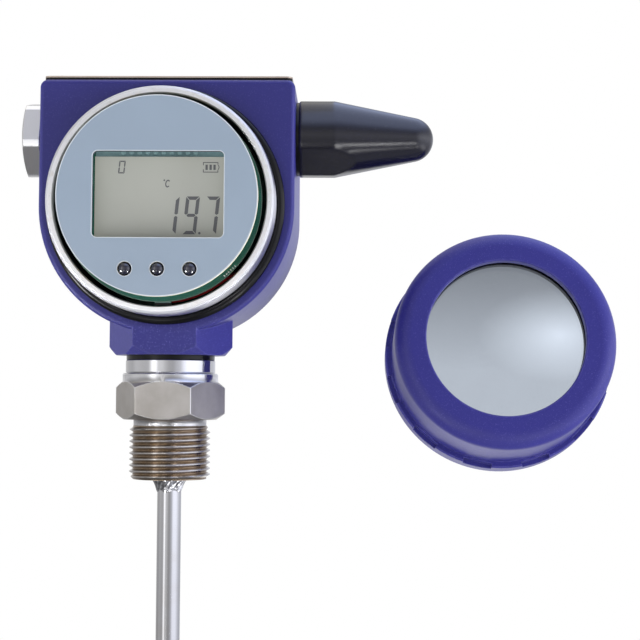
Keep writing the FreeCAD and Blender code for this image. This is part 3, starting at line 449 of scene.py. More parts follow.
def front_film(colours):
    """Matt printed film with a pale painted highlight round the window, the buttons and the edge."""
    f = Finish("front_film", IOR=1.45)
    grain, cloud = f.noise(6.0), f.noise(0.045, 2.0)
    past = [(d - half + WINDOW_CORNER).most(0.0) for d, half in zip(from_window(f), WINDOW_HALF)]
    # Painted highlight: a thin pale line along the window's edge, the button holes and the film's rim.
    line = 1 - (f.radius(*past) - WINDOW_CORNER).between(0.10, 0.30)
    for place in BUTTON_PLACES:
        away = f.radius(f.x, f.z, place, BUTTON_HEIGHT) - BUTTON_HOLE
        line = line.most(1 - away.between(0.11, 0.27))
    rim = f.radius(f.x, f.z, 0.0, FILM_HEIGHT) - FILM_RADIUS
    line = line.most(rim.between(-0.38, -0.24))
    base = f.tones(cloud, colours.film, 0.95, 1.06)
    f.wear(f.mix(line * 0.75, base, linear(226, 231, 236)), 0.50 + 0.08 * grain)
    return f.relief(grain, 0.008, 0.5)


def face_plate_board():
    """Pale glass-fibre plate whose window walls are darkened as painted shade."""
    f = Finish("face_plate_board", IOR=1.5)
    across, rise = from_window(f)
    # Painted shade: the walls of the window are made dark slate.
    window_wall_shade = (across < WINDOW_HALF[0] + 0.4) * (rise < WINDOW_HALF[1] + 0.4)
    grain = f.noise(3.5, 3.0)
    base = f.mix(grain, linear(222, 216, 186), linear(240, 235, 212))
    f.wear(f.mix(window_wall_shade, base, linear(44, 56, 70)), 0.55 + 0.1 * grain)
    return f.relief(grain, 0.01, 0.4)


def display_panel(colours):
    """Grey-green liquid-crystal cell whose upper ledge shows its teal glass."""
    f = Finish("display_panel", IOR=1.5)
    grain, cloud = f.noise(7.0), f.noise(0.06, 2.0)
    ledge = f.z > LCD_LEDGE
    base = f.tones(cloud, colours.lcd, 0.96, 1.05)
    glass = f.mix(f.noise(0.9, 3.0), linear(98, 130, 138), linear(136, 166, 172))
    f.wear(f.mix(ledge, base, glass), 0.34 + 0.06 * grain - ledge * 0.15)
    return f.relief(grain, 0.004, 0.4)


def circuit_board(colours):
    """Solder mask over copper tracks, with a pale cut edge."""
    f = Finish("circuit_board", IOR=1.5)
    tracks = f.node(
        "ShaderNodeTexBrick",
        {"offset": 0.35, "squash": 1.6},
        {"Vector": f.vector(f.x, f.z, 0.0), "Scale": 0.55, "Mortar Size": 0.07, "Mortar Smooth": 0.2,
         "Brick Width": 0.9, "Row Height": 0.4},
        "Fac",
    )
    around = f.radius(f.x, f.z, 0.0, DRUM_HEIGHT)
    edge = around.between(BOARD_RADIUS - 0.20, BOARD_RADIUS - 0.04) * (f.y < 0.0)
    base = f.tones(tracks * 0.5, colours.board, 1.0, 1.9)
    base = f.mix(f.noise(0.5, 3.0), shade(colours.board, 0.75), base)
    f.wear(f.mix(edge * 0.75, base, linear(150, 176, 166)), 0.38 - 0.08 * tracks)
    return f.relief(tracks, 0.03, 0.4)


def connector_nylon():
    """Pale connector whose outer end is dark with contacts."""
    f = Finish("connector_nylon", IOR=1.5)
    grain = f.noise(2.0, 3.0)
    base = f.mix(grain, linear(132, 176, 170), linear(176, 208, 204))
    end = 1 - f.z.between(CONNECTOR_END, CONNECTOR_END + 0.2)
    f.wear(f.mix(end, base, linear(20, 23, 24)), 0.42 + 0.1 * grain)
    return f.material


def tinted_glass(colours):
    """Thick window glass, faintly smeared."""
    f = Finish("window_glass", IOR=1.5, Transmission_Weight=1.0)
    smear = f.noise(0.10, 3.0)
    f.wear(f.tones(smear, colours.glass, 0.97, 1.03), 0.01 + 0.03 * smear)
    return f.material


def finish_table(colours):
    """The finish of every solid."""
    steel = turned_metal("turned_steel", colours.steel, 0.06)
    fitting = turned_metal("fitting_steel", colours.steel, 0.14, milled=(0.0, HEXAGON_TOP), easing=0.5)
    plug = turned_metal(
        "plug_steel", linear(206, 205, 206), 0.33, "X", (0.0, PLUG_HEIGHT), easing=0.5, rim=PLUG_CORNER
    )
    brass = turned_metal("plated_brass", linear(205, 180, 120), 0.30, "Y", (0.0, DRUM_HEIGHT))
    plate = turned_metal("bare_plate", linear(205, 190, 176), 0.42, "X", tint=0.2)
    can = turned_metal("can_tinplate", linear(196, 198, 200), 0.34)
    rubber = moulded("seal_rubber", colours.rubber, 0.14, 2.2, 0.008, Specular_IOR_Level=0.25)
    buttons = moulded("button_plastic", colours.buttons, 0.05, 1.5, 0.002, 0.03, IOR=1.75)
    groups = (
        (coated_head(colours), "housing"),
        (coated_cap(colours), "cap_shell"),
        (tinted_glass(colours), "cap_glass"),
        (front_film(colours), "face_overlay"),
        (face_plate_board(), "face_plate"),
        (display_panel(colours), "lcd_panel"),
        (radome_plastic(colours), "antenna_radome"),
        (connector_nylon(), "lead_connector"),
        (circuit_board(colours), "display_board main_board"),
        (steel, "neck_adapter weld_bead probe_tube sensing_element face_screws"),
        (fitting, "process_fitting"),
        (plug, "entry_plug antenna_stud antenna_element"),
        (plate, "name_plate name_plate_rivets"),
        (brass, "plate_spacers board_pillars rear_pillars"),
        (can, "radio_module"),
        (rubber, "cover_o_ring name_plate_gasket entry_plug_seal antenna_seal neck_seal"),
        (buttons, "button_left button_middle button_right"),
        (moulded("lead_jacket", linear(58, 58, 62), 0.45, 2.0), "sensor_leads antenna_cable"),
        (moulded("ring_black", linear(32, 32, 36), 0.4, 2.0), "cap_retaining_ring"),
        (moulded("window_seal", linear(34, 34, 66), 0.30, 2.2), "cap_glass_gasket"),
        (moulded("red_insulation", linear(172, 40, 42), 0.38, 1.5), "battery_lead"),
        (moulded("cell_sleeve", linear(58, 96, 78), 0.30, 1.2, 0.006), "battery"),
        (moulded("terminal_plastic", linear(92, 98, 100), 0.42, 2.2), "terminal_block"),
        (moulded("holder_plastic", linear(40, 40, 44), 0.45, 2.2), "battery_holder"),
        (moulded("switch_plastic", linear(30, 30, 33), 0.42, 2.0), "key_switches"),
    )
    return {name: material for material, names in groups for name in names.split()}


def placed(name, data):
    """A new object in the scene."""
    made = bpy.data.objects.new(name, data)
    bpy.context.scene.collection.objects.link(made)
    return made


def add_piece(name, mesh, material, body=BODY):
    """Show a finished mesh as a piece that rides on a body."""
    if material.name not in mesh.materials:
        mesh.materials.append(material)
    piece = placed(name, mesh)
    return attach(piece, body)


def smooth(mesh, degrees):
    """Smooth shading up to an angle."""
    mesh.shade_smooth()
    mesh.set_sharp_from_angle(angle=radians(degrees))


def plain_mesh(name, shape):
    """What was built, as a mesh."""
    mesh = bpy.data.meshes.new(name)
    shape.to_mesh(mesh)
    shape.free()
    return mesh


def mesh_from(name, shape):
    """A mesh with its faces turned outwards."""
    bmesh.ops.remove_doubles(shape, verts=shape.verts, dist=1e-7)
    bmesh.ops.recalc_face_normals(shape, faces=shape.faces)
    return plain_mesh(name, shape)


def loft(shape, rings):
    """Join each ring of points to the next by a band of faces."""
    for first, second in zip(rings, rings[1:]):
        for i in range(len(first)):
            j = (i + 1) % len(first)
            shape.faces.new((first[i], first[j], second[j], second[i]))


def turns(steps):
    """The angles of a full turn in equal steps."""
    return [tau * step / steps for step in range(steps)]


def grown(name, tree, values):
    """Plain mesh, faces outwards, that a Geometry Nodes tree makes from these values."""
    holder = placed(name, bpy.data.meshes.new(name + "_seed"))
    modifier = holder.modifiers.new(name, "NODES")
    modifier.node_group = tree
    for item in tree.interface.items_tree:
        if item.item_type == "SOCKET" and item.in_out == "INPUT" and item.name in values:
            modifier[item.identifier] = values[item.name]
    evaluated = holder.evaluated_get(bpy.context.evaluated_depsgraph_get())
    mesh = bpy.data.meshes.new_from_object(evaluated)
    mesh.name = name
    holder.modifiers.remove(modifier)
    bpy.data.objects.remove(holder)
    shape = bmesh.new()
    shape.from_mesh(mesh)
    bmesh.ops.recalc_face_normals(shape, faces=shape.faces)
    shape.to_mesh(mesh)
    shape.free()
    return mesh


def new_tree(name, inputs):
    """An empty Geometry Nodes tree with named inputs, and those inputs as fields."""
    tree = bpy.data.node_groups.new(name, "GeometryNodeTree")
    for title, kind in inputs.items():
        tree.interface.new_socket(title, in_out="INPUT", socket_type=f"NodeSocket{kind}")
    tree.interface.new_socket("Mesh", in_out="OUTPUT", socket_type="NodeSocketGeometry")
    graph = Graph(tree)
    entry = tree.nodes.new("NodeGroupInput")
    return graph, [Field(graph, entry.outputs[title]) for title in inputs]


def close_tree(graph, geometry, material):
    """Realize, finish and hand out the geometry."""
    real = graph.node("GeometryNodeRealizeInstances", sockets={0: geometry})
    soft = graph.node("GeometryNodeSetShadeSmooth", sockets={0: real})
    done = graph.node("GeometryNodeSetMaterial", sockets={0: soft, "Material": material})
    leave = graph.tree.nodes.new("NodeGroupOutput")
    graph.feed(leave.inputs[0], done)


def thread_tree():
    """A closed sleeve about Z whose one wall follows a thread's profile."""
    lengths = ("Crest", "Root", "Back", "Pitch", "Low", "Rise", "Lead", "Start")
    graph, given = new_tree("thread_sleeve", {
        **dict.fromkeys(lengths, "Float"), "Steps": "Int", "Rows": "Int", "Material": "Material",
    })
    crest, root, back, pitch, low, rise, lead, start, steps, rows, material = given
    column = rows + 3
    grid = graph.node("GeometryNodeMeshGrid", sockets={"Vertices X": steps + 1, "Vertices Y": column})
    index = graph.node("GeometryNodeInputIndex")
    row = index % column
    turn = (index / column).floor() / steps
    along = ((row - 1) / (rows - 1)).most(0.0).least(1.0) * (row < rows + 1.5)
    height = low + along * rise
    phase = (height / pitch - turn - start) % 1.0
    tooth = ((1 - abs(phase * 2 - 1)) * 1.3 - 0.12).most(0.0).least(1.0)
    ends = (along.least(1 - along) * rise / lead).least(1.0)
    wall = root + (crest - root) * tooth * ends
    hidden = (row < 0.5).most(row > rows + 0.5)
    radius = wall + (back - wall) * hidden
    angle = turn * tau
    x, y = (radius * angle.maths(kind, angle) for kind in ("COSINE", "SINE"))
    place = graph.vector(x, y, height)
    moved = graph.node("GeometryNodeSetPosition", sockets={"Geometry": grid, "Position": place})
    seams = {"Geometry": moved, "Distance": 1e-6}
    close_tree(graph, graph.node("GeometryNodeMergeByDistance", sockets=seams), material)
    return graph.tree


def bead_row_tree():
    """Rounded beads in a straight row."""
    vectors = dict.fromkeys(("Start", "Step", "Size", "Turn"), "Vector")
    graph, given = new_tree("bead_row", {"Count": "Int", **vectors, "Material": "Material"})
    count, start, step, size, turn, material = given
    places = {"Count": count, "Start Location": start, "Offset": step}
    line = graph.node("GeometryNodeMeshLine", {"mode": "OFFSET"}, places)
    ball = graph.node("GeometryNodeMeshUVSphere", sockets={"Segments": 20, "Rings": 10, "Radius": 0.5})
    bead = graph.node("GeometryNodeTransform", sockets={"Geometry": ball, "Scale": size})
    turned = graph.node("FunctionNodeEulerToRotation", sockets={0: turn})
    beads = {"Points": line, "Instance": bead, "Rotation": turned}
    close_tree(graph, graph.node("GeometryNodeInstanceOnPoints", sockets=beads), material)
    return graph.tree


def add_thread(name, material, values, place=Matrix()):
    """Grow a thread's sleeve, put it in its place and show it."""
    mesh = grown(name, thread_tree(), {**values, "Material": material})
    mesh.transform(place)
    smooth(mesh, 50)
    return add_piece(name, mesh, material)


def add_beads(name, material, values):
    """Grow a row of beads and show it."""
    mesh = grown(name, bead_row_tree(), {**values, "Material": material})
    return add_piece(name, mesh, material)


def prism(shape, outline, front, thickness):
    """Add a flat plate with this outline (x, z), its face at y = front."""
    rings = [[shape.verts.new((x, y, z)) for x, z in outline] for y in (front, front + thickness)]
    loft(shape, rings)
    for ring in rings:
        shape.faces.new(ring)


def bar_outlines(width, height, stroke):
    """The seven bars of a figure, lower left corner at the origin."""
    w, h, t, g = width, height, stroke, stroke * 0.16
    m, s = h / 2, t / 2
    top = [(g, h), (w - g, h), (w - t - g / 2, h - t), (t + g / 2, h - t)]
    side = [(w, h - g), (w, m + s), (w - s, m + g), (w - t, m + s), (w - t, h - t - g)]
    waist = [(t + g / 2, m + s * 0.9), (w - t - g / 2, m + s * 0.9), (w - s - g, m)]
    return {
        "top": top, "bottom": [(x, h - z) for x, z in top],
        "upper_right": side, "lower_right": [(x, h - z) for x, z in side],
        "upper_left": [(w - x, z) for x, z in side], "lower_left": [(w - x, h - z) for x, z in side],
        "middle": waist + [(w - x, h - z) for x, z in waist],
    }


FIGURES = {
    0: "top upper_right lower_right bottom lower_left upper_left",
    1: "upper_right lower_right",
    7: "top upper_right lower_right",
    9: "top upper_right lower_right bottom upper_left middle",
}


def arc_points(radius, start, end, count):
    """Points on an arc about the origin, angles in degrees."""
    steps = [radians(start + (end - start) * i / (count - 1)) for i in range(count)]
    return [(radius * cos(a), radius * sin(a)) for a in steps]


class SENSOR_OT_finishes(Operator):
    """Give every solid its coat, metal, rubber or plastic"""

    bl_idname = "sensor.finishes"
    bl_label = "Finish the Solids"

    def execute(self, context):
        for name, material in finish_table(context.scene.sensor_colours).items():
            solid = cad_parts[name]
            solid.data.materials.clear()
            solid.data.materials.append(material)
        return {"FINISHED"}


class SENSOR_OT_process_thread(Operator):
    """Cut the thread on the process fitting"""

    bl_idname = "sensor.process_thread"
    bl_label = "Process Thread"

    def execute(self, context):
        sizes = context.scene.sensor_sizes
        self.keep_hexagon()
        low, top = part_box("process_fitting")[0].z, (THREAD_TOP + 0.15) * MM
        crest = THREAD_RADIUS * MM
        thread = add_thread("process_thread", threaded_steel(context.scene.sensor_colours), {
            "Crest": crest, "Root": crest - sizes.thread_depth, "Back": (TUBE_RADIUS + 0.6) * MM,
            "Pitch": sizes.thread_pitch, "Low": low, "Rise": top - low, "Lead": 1.3 * MM,
            "Start": 0.335, "Steps": sizes.thread_steps, "Rows": 180,
        })
        return {"FINISHED"}

    def keep_hexagon(self):
        """Show the fitting without the plain cylinder that the thread replaces."""
        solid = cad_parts["process_fitting"].data
        shape = bmesh.new()
        shape.from_mesh(solid)
        bmesh.ops.remove_doubles(shape, verts=shape.verts, dist=1e-7)
        cut = bmesh.ops.bisect_plane(
            shape, geom=[*shape.verts, *shape.edges, *shape.faces],
            plane_co=(0, 0, (THREAD_TOP + 0.1) * MM), plane_no=(0, 0, 1), clear_inner=True,
        )
        rim = [e for e in cut["geom_cut"] if isinstance(e, bmesh.types.BMEdge)]
        bmesh.ops.bridge_loops(shape, edges=rim)
        mesh = mesh_from("fitting_hexagon", shape)
        smooth(mesh, 12)
        piece = add_piece("fitting_hexagon", mesh, solid.materials[0])
        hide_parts("process_fitting")


class SENSOR_OT_cap_thread(Operator):
    """Cut the thread inside the cap"""

    bl_idname = "sensor.cap_thread"
    bl_label = "Cap Thread"

    def execute(self, context):
        sizes, colours = context.scene.sensor_sizes, context.scene.sensor_colours
        dull, axis = shade(colours.bare, 0.8), (CAP_PLACE.x, CAP_PLACE.z)
        metal = turned_metal("cap_thread_metal", dull, 0.34, "Y", axis)
        bore = CAP_BORE * MM
        facing = Matrix.Rotation(pi / 2 - CAP_TILT, 4, "X")
        thread = add_thread("cap_thread", metal, {
            "Crest": bore - sizes.cap_depth, "Root": bore - 0.02 * MM, "Back": bore + 0.4 * MM,
            "Pitch": sizes.cap_pitch, "Low": 1.6 * MM, "Rise": 11.0 * MM, "Lead": 1.5 * MM,
            "Steps": sizes.thread_steps, "Rows": 90,
        }, Matrix.Translation(CAP_PLACE * MM) @ facing)
        return {"FINISHED"}


class SENSOR_OT_collar_thread(Operator):
    """Cut the thread that the cap screws on"""

    bl_idname = "sensor.collar_thread"
    bl_label = "Collar Thread"

    def execute(self, context):
        sizes, colours = context.scene.sensor_sizes, context.scene.sensor_colours
        metal = turned_metal("collar_metal", colours.bare, 0.30, "Y", (0.0, DRUM_HEIGHT))
        collar, end = COLLAR_RADIUS * MM, (-COLLAR_FRONT - 1.1) * MM
        start = 0.8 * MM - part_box("cover_o_ring")[0].y
        facing = Matrix.Rotation(pi / 2, 4, "X")
        thread = add_thread("collar_thread", metal, {
            "Crest": collar + sizes.collar_depth, "Root": collar - 0.01 * MM, "Back": collar - 0.4 * MM,
            "Pitch": sizes.cap_pitch, "Low": start, "Rise": end - start, "Lead": 1.2 * MM,
            "Steps": sizes.thread_steps, "Rows": 90,
        }, Matrix.Translation((0, 0, DRUM_HEIGHT * MM)) @ facing)
        return {"FINISHED"}


class SENSOR_OT_weld_seam(Operator):
    """Lay the rippled weld between the fitting and the probe"""

    bl_idname = "sensor.weld_seam"
    bl_label = "Weld Seam"

    def execute(self, context):
        low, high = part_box("weld_bead")
        top, bottom, wide = high.z, low.z + 0.5 * MM, high.x
        tube, core = TUBE_RADIUS * MM, (TUBE_RADIUS - 0.2) * MM
        rows, angles = 26, turns(144)
        shape = bmesh.new()
        rings = []
        for row in range(rows):
            share = row / (rows - 1)
            flare, fade = (1 - share) ** 1.9, min(1.0, 6 * share, 5 * (1 - share))
            ring = []
            for turn in angles:
                scale = sin(9 * turn + 5.0 * share + 1.3 * sin(2 * turn))
                ripple = (0.26 * abs(scale) + 0.07 * sin(23 * turn + 9 * share)) * MM
                radius = tube + 0.12 * MM + (wide - tube - 0.10 * MM) * flare + ripple * fade
                edge = 0.45 * MM * sin(5 * turn + 0.7) * share
                height = top + (bottom - top) * share + edge
                ring.append(shape.verts.new((radius * cos(turn), radius * sin(turn), height)))
            rings.append(ring)
        for height in (rings[-1][0].co.z, top):
            rings.append([shape.verts.new((core * cos(t), core * sin(t), height)) for t in angles])
        loft(shape, rings + rings[:1])
        mesh = mesh_from("weld_seam", shape)
        smooth(mesh, 60)
        seam = Finish("weld_steel", Metallic=1.0)
        heat, steel = seam.noise(0.6, 4.0), context.scene.sensor_colours.steel
        tone = seam.tones(heat.between(0.35, 0.65), steel, 0.45, 1.15)
        seam.wear(tone, 0.05 + 0.08 * heat)
        seam.relief(seam.noise(1.4, 3.0), 0.05, 0.5)
        piece = add_piece("weld_seam", mesh, seam.material)
        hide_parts("weld_bead")
        return {"FINISHED"}


class SENSOR_OT_display_marks(Operator):
    """Lay the figures, the unit and the cell symbol on the display"""

    bl_idname = "sensor.display_marks"
    bl_label = "Display Marks"

    def execute(self, context):
        sizes = context.scene.sensor_sizes
        lengths = sizes.digit_width, sizes.digit_height, sizes.digit_stroke, sizes.digit_pitch
        width, height, stroke, pitch = (value / MM for value in lengths)
        front, slant = LCD_FACE * MM - sizes.mark_thickness, tan(sizes.digit_slant)
        shape = bmesh.new()

        def lay(outline, corner, lean=slant):
            placed = [((corner[0] + x + z * lean) * MM, (corner[1] + z) * MM) for x, z in outline]
            prism(shape, placed, front, sizes.mark_thickness)

        def figure(value, corner, *measures):
            bars = bar_outlines(*measures)
            for name in FIGURES[value].split():
                lay(bars[name], corner)

        # Large figures from the right, and the point before the last; all in millimetres
        right, base = 18.05, 58.72
        for place, value in enumerate((7, 9, 1)):
            figure(value, (right - width - place * pitch, base), width, height, stroke)
        lay(arc_points(0.38, 0, 337.5, 16), (right - pitch + 1.15, base + 0.36), 0)

        # Small figure at the upper left
        figure(0, (-13.05, 77.85), 2.05, 4.05, 0.42)

        # Unit: a dot and a letter
        lay(arc_points(0.28, 0, 330, 12), (1.62, 75.75), 0)
        letter = [(0.80 * x, 1.24 * z + 1.24) for x, z in arc_points(1.0, 42, 318, 22)]
        letter += [(0.80 * x, 1.42 * z + 1.24) for x, z in arc_points(0.58, 318, 42, 22)]
        lay(letter, (2.58, 73.45))

        # Cell symbol: a frame with broken ends, three bars and a rounded tip
        left, low, wide, tall, line = 13.75, 78.25, 4.85, 3.3, 0.26
        bars = [(0, 0, wide, line), (0, tall - line, wide, line)]
        for x, stub in ((0, 0.75), (wide - line, 0.55)):
            bars += [(x, line, line, stub), (x, tall - line - stub, line, stub)]
        bars += [(x, 0.82, 0.72, 1.66) for x in (0.80, 2.06, 3.30)]
        for x, z, w, h in bars:
            lay([(x, z), (x + w, z), (x + w, z + h), (x, z + h)], (left, low), 0)
        tip = arc_points(1.0, -70, 70, 9)
        outline = [(0.62 * x, 0.88 * z) for x, z in tip]
        outline += [(0.36 * x, 0.62 * z) for x, z in reversed(tip)]
        lay(outline, (left + wide - 0.28, low + tall / 2), 0)

        marks = moulded("display_ink", context.scene.sensor_colours.marks, 0.40, 3.0, 0.004, 0.06)
        add_piece("display_marks", mesh_from("display_marks", shape), marks)
        return {"FINISHED"}


class SENSOR_OT_buttons(Operator):
    """Turn the three domed push-buttons"""

    bl_idname = "sensor.buttons"
    bl_label = "Push-buttons"

    def execute(self, context):
        dome, rows, angles = context.scene.sensor_sizes.button_dome, 14, turns(48)
        for side in ("left", "middle", "right"):
            node = f"button_{side}"
            low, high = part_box(node)
            across, up = (low.x + high.x) / 2, (low.z + high.z) / 2
            wide = (high.x - low.x) / 2 - 0.1 * MM
            profile = [(wide * 0.6, high.y), (wide, high.y - 0.3 * MM)]
            for row in range(rows):
                angle = pi / 2 * row / rows
                profile.append((wide * cos(angle), low.y + dome * (1 - sin(angle))))
            shape = bmesh.new()
            rings = [
                [shape.verts.new((across + r * cos(t), y, up + r * sin(t))) for t in angles]
                for r, y in profile
            ]
            loft(shape, rings)
            shape.faces.new(rings[0])
            tip, last = shape.verts.new((across, low.y, up)), rings[-1]
            for first, second in zip(last, last[1:] + last[:1]):
                shape.faces.new((first, second, tip))
            mesh = mesh_from(f"key_{side}", shape)
            smooth(mesh, 40)
            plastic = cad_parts[node].data.materials[0]
            piece = add_piece(f"key_{side}", mesh, plastic, f"{side}_button")
            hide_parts(node)
        return {"FINISHED"}


class SENSOR_OT_display_pins(Operator):
    """Set the row of pins along the display's upper ledge"""

    bl_idname = "sensor.display_pins"
    bl_label = "Display Pins"

    def execute(self, context):
        sizes = context.scene.sensor_sizes
        pins = add_beads("display_pins", moulded("pin_solder", linear(128, 160, 166), 0.30, 2.0), {
            "Count": sizes.pin_count, "Start": Vector((-11.55, -33.9, 84.6)) * MM,
            "Step": Vector((sizes.pin_pitch, 0, 0)), "Size": Vector((1.55, 0.9, 1.3)) * MM,
        })
        return {"FINISHED"}


class SENSOR_OT_board_pads(Operator):
    """Set the row of solder pads on the display board's rim"""

    bl_idname = "sensor.board_pads"
    bl_label = "Board Pads"

    def execute(self, context):
        count, start, end = 6, Vector((20.63, -32.5, 45.87)) * MM, Vector((23.91, -32.5, 49.05)) * MM
        pads = add_beads("board_pads", turned_metal("pad_solder", linear(226, 228, 230), 0.35, "Y"), {
            "Count": count, "Start": start, "Step": (end - start) / (count - 1),
            "Size": Vector((0.66, 0.16, 0.36)) * MM, "Turn": Vector((0, radians(-135), 0)),
        })
        return {"FINISHED"}


# Tent: its wall by azimuth from the front, its roof on the left and on the right, and soft lights with
# azimuth, height, half width and half height, in degrees, and strength
TENT_WALL = (
    (-180, 0.72), (-160, 0.63), (-127, 0.52), (-107, 0.49), (-92, 0.62), (-79, 0.60), (-67, 0.57),
    (-57, 0.55), (-51, 0.62), (-46, 1.05), (-41, 1.60), (-35, 1.90), (-31, 1.22), (-26, 0.84),
    (-16, 0.79), (-7, 0.60), (2, 0.48), (11.5, 0.46), (21, 0.60), (30, 0.71), (39.5, 1.14), (49, 1.40),
    (59, 1.40), (70, 1.42), (81, 1.37), (93, 1.17), (106, 0.96), (121, 0.76), (141, 0.66), (160, 0.68),
    (180, 0.72),
)
TENT_ROOF = Vector((1.05, 1.03, 0.97)), Vector((1.35, 1.55, 2.2))
TENT_LIGHTS = (
    (-49, -32, 20, 13, 0.4), (-44, -33, 8, 8, 9.0), (44, -38, 6, 6, 7.0), (26, -22, 12, 3, 14.0),
    (24, -42, 14, 4, 11.0), (-12, -21, 9, 7, 6.0), (-22, -50, 18, 14, 0.50), (78, -29, 42, 15, 1.3),
    (-48, -29, 40, 13, 0.6), (180, -28, 34, 24, 1.2), (-180, -28, 34, 24, 1.2),
)
TENT_RADIUS = 1.6
# Narrow lamps for the glints on the buttons: azimuth, height, size and power
GLINTS = ((-62, -27, 0.060, 0.016), (54, -42, 0.032, 0.005))
GLINT_REACH, GLINT_BEAM = 0.15, radians(22)
STUDIO_MIDDLE = Vector((0.05, 0.0, 0.0))
FLOOR_RADIUS = 9.0
RAYS = {"camera", "diffuse", "glossy", "transmission", "volume_scatter", "shadow"}


def ramp(value, low, high):
    """0 up to low, 1 from high on, and even between them."""
    return min(1.0, max(0.0, (value - low) / (high - low)))


def tent_colour(azimuth, height):
    """Light of the tent in one direction: wall, dull ground, cool roof and a few soft lights."""
    for (left, first), (right, second) in zip(TENT_WALL, TENT_WALL[1:]):
        if left <= azimuth <= right:
            level = first + (second - first) * (azimuth - left) / (right - left)
    level *= min(1.42 - 0.040 * max(0.0, height - 10), max(0.88, 1.14 + 0.028 * height))
    level *= 1 - 0.65 * ramp(-height, 12, 42)
    cool = ramp(azimuth, 0, 40)
    colour = Vector((level, level * (1 + 0.02 * cool), level * (1 + 0.10 * cool)))
    roof = ramp(height, 24, 56)
    above = TENT_ROOF[0].lerp(TENT_ROOF[1], ramp(azimuth, -20, -4))
    colour = colour.lerp(above, roof * roof * (3 - 2 * roof))
    for across, up, wide, tall, added in TENT_LIGHTS:
        away = hypot((azimuth - across) / wide, (height - up) / tall)
        colour += Vector((1, 1, 1)) * added * max(0.0, 1 - away * away) ** 2
    return colour


def direction(azimuth, height):
    """Unit vector to a point of the tent; angles in degrees."""
    a, e = radians(azimuth), radians(height)
    return Vector((sin(a) * cos(e), -cos(a) * cos(e), sin(e)))


def stage_for(rays, name, mesh, material):
    """Add a floor or backdrop that only these kinds of ray see."""
    mesh.materials.append(material)
    made = placed(name, mesh)
    for kind in RAYS:
        setattr(made, f"visible_{kind}", kind in rays)


def glowing(name):
    """A black finish that only gives off light."""
    f = Finish(name, Roughness=1.0, Specular_IOR_Level=0.0, Emission_Strength=1.0)
    f.wear((0.0, 0.0, 0.0))
    return f


def hang_tent():
    """A round tent that only reflections see, with its light kept in its mesh."""
    shape = bmesh.new()
    light = shape.verts.layers.float_vector.new("light")
    rings = []
    for height in range(88, -90, -2):
        ring = []
        for azimuth in range(-180, 180, 2):
            vert = shape.verts.new(direction(azimuth, height) * TENT_RADIUS + STUDIO_MIDDLE)
            vert[light] = tent_colour(azimuth, height)
            ring.append(vert)
        rings.append(ring)
    loft(shape, rings)
    f = glowing("tent_cloth")
    f.glow(f.node("ShaderNodeAttribute", {"attribute_name": "light"}, output="Color"))
    stage_for({"glossy"}, "tent", plain_mesh("tent", shape), f.material)


def hang_backdrop():
    """A wall far behind, seen only through glass: dim above, with a soft patch of light on the right."""
    shape = bmesh.new()
    corners = ((-1.2, -0.15), (1.4, -0.15), (1.4, 1.2), (-1.2, 1.2))
    shape.faces.new([shape.verts.new((x, 0.45, z)) for x, z in corners])
    f = glowing("backdrop_paper")
    patch = (1 - f.radius((f.x - 196) / 53, (f.z - 47) / 31)).most(0.0) ** 1.2
    level = 0.74 + 0.62 * patch - 0.42 * ((f.z - 23) / 66).most(0.0).least(1.0)
    f.glow(f.vector(level, level * 1.015, level * 1.07))
    stage_for({"transmission"}, "backdrop", plain_mesh("backdrop", shape), f.material)


def lamp(name, place, aim, size, power, beam=None):
    """A square soft lamp that mirrors don't see, or one with a narrow beam that only gives glints."""
    data = bpy.data.lights.new(name, "AREA")
    data.shape, data.size, data.energy = "SQUARE", size, power
    if beam:
        data.spread = beam
    made = placed(name, data)
    made.location = place
    made.rotation_euler = (aim - Vector(place)).to_track_quat("-Z", "Y").to_euler()
    made.visible_diffuse, made.visible_glossy = not beam, bool(beam)


def seen_directly(graph):
    """1 on rays from the camera, a mirror or a glass, 0 on the rest."""
    path = graph.node("ShaderNodeLightPath").socket.node
    kinds = ("Camera", "Glossy", "Transmission")
    camera, glossy, glass = (Field(graph, path.outputs[f"Is {kind} Ray"]) for kind in kinds)
    return camera.most(glossy).most(glass)


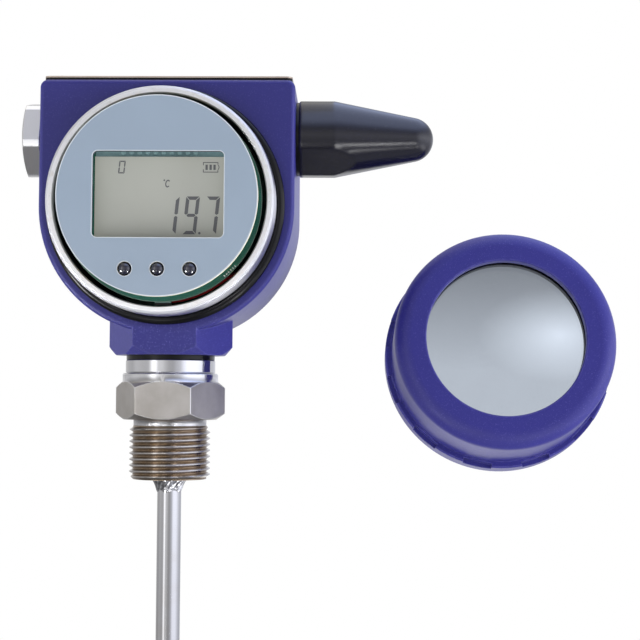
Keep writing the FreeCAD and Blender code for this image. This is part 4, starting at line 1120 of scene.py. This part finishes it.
class SENSOR_OT_studio(Operator):
    """Set up the camera, the lamps, the pale floor, the tent and the backdrop"""

    bl_idname = "sensor.studio"
    bl_label = "Studio"

    def execute(self, context):
        scene, given = context.scene, context.scene.sensor_studio
        self.aim_camera(scene, given)
        self.light(given)
        self.lay_floor(given)
        hang_tent()
        hang_backdrop()
        scene.view_settings.view_transform = "Standard"
        return {"FINISHED"}

    def aim_camera(self, scene, given):
        pitch, roll, yaw = given.turn
        view = Matrix.Translation(given.place)
        for angle, axis in ((-yaw, "Z"), (pi / 2 + pitch, "X"), (roll, "Z")):
            view = view @ Matrix.Rotation(angle, 4, axis)
        data = bpy.data.cameras.new("view")
        data.sensor_width, data.lens = 36.0, given.lens
        scene.camera = placed("view", data)
        scene.camera.matrix_world = view

    def light(self, given):
        middle = STUDIO_MIDDLE + Vector((0.0, 0.0, 0.03))
        lamp("front_lamp", (0.0, -1.3, 0.35), middle, 1.1, given.key_power)
        lamp("left_lamp", (-1.1, -0.1, 0.0), middle, 0.8, given.fill_power * 1.9)
        lamp("right_lamp", (1.2, -0.25, -0.1), middle, 0.8, given.fill_power * 3.6)
        lamp("top_lamp", (0.05, 0.1, 1.2), middle, 0.8, given.fill_power * 2.0)
        low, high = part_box("button_middle")
        button = Vector(((low.x + high.x) / 2, low.y, (low.z + high.z) / 2))
        for number, (azimuth, height, size, power) in enumerate(GLINTS):
            place = button + direction(azimuth, height) * GLINT_REACH
            lamp(f"glint_lamp_{number}", place, button, size, power, GLINT_BEAM)
        world = bpy.data.worlds.new("white_room")
        world.use_nodes = True
        bpy.context.scene.world = world
        graph = Graph(world.node_tree)
        level = given.sky
        graph.feed(
            graph.tree.nodes["Background"].inputs["Color"],
            graph.mix(seen_directly(graph), (level, level, level), (1.0, 1.0, 1.0)),
        )

    def lay_floor(self, given):
        shape = bmesh.new()
        bmesh.ops.create_circle(
            shape, cap_ends=True, segments=96, radius=FLOOR_RADIUS,
            matrix=Matrix.Translation((STUDIO_MIDDLE.x, 0, given.floor)),
        )
        f = Finish("floor_paper", Roughness=0.9, Emission_Strength=1.0)
        direct = seen_directly(f)
        f.wear((0.60, 0.60, 0.60))
        f.glow(f.mix(direct, (0.76, 0.76, 0.76), (0.12, 0.12, 0.12)))
        away = f.radius(f.x, f.y, STUDIO_MIDDLE.x / MM).between(280.0, 440.0)
        white = f.node("ShaderNodeEmission", sockets={"Color": (1, 1, 1), "Strength": 1.0})
        paper = Field(f, f.shader.outputs[0])
        blend = f.node("ShaderNodeMixShader", sockets={0: direct * away, 1: paper, 2: white})
        f.feed(f.tree.nodes["Material Output"].inputs["Surface"], blend)
        stage_for(RAYS - {"glossy"}, "floor", plain_mesh("floor", shape), f.material)


PIECES = (
    SENSOR_OT_studio, SENSOR_OT_finishes, SENSOR_OT_process_thread, SENSOR_OT_cap_thread,
    SENSOR_OT_collar_thread, SENSOR_OT_weld_seam, SENSOR_OT_buttons, SENSOR_OT_display_marks,
    SENSOR_OT_display_pins, SENSOR_OT_board_pads,
)


class SENSOR_PT_panel(Panel):
    """The sensor's sizes, colours, pieces and studio"""

    bl_idname = "SENSOR_PT_panel"
    bl_label = "Temperature Sensor"
    bl_space_type = "VIEW_3D"
    bl_region_type = "UI"
    bl_category = "Sensor"

    def draw(self, context):
        for name in GROUPS:
            box = self.layout.box()
            group = getattr(context.scene, name)
            for prop in group.__annotations__:
                box.prop(group, prop)
        for piece in PIECES:
            self.layout.operator(piece.bl_idname)


GROUPS = {
    "sensor_sizes": SensorSizes,
    "sensor_colours": SensorColours,
    "sensor_studio": SensorStudio,
}
CLASSES = (*GROUPS.values(), *PIECES, SENSOR_PT_panel)


def register():
    for item in CLASSES:
        bpy.utils.register_class(item)
    for name, group in GROUPS.items():
        setattr(bpy.types.Scene, name, PointerProperty(type=group))


def unregister():
    for name in GROUPS:
        delattr(bpy.types.Scene, name)
    for item in reversed(CLASSES):
        bpy.utils.unregister_class(item)


def main():
    register()
    for piece in PIECES:
        area, name = piece.bl_idname.split(".")
        getattr(getattr(bpy.ops, area), name)()


if __name__ == "__main__":
    main()
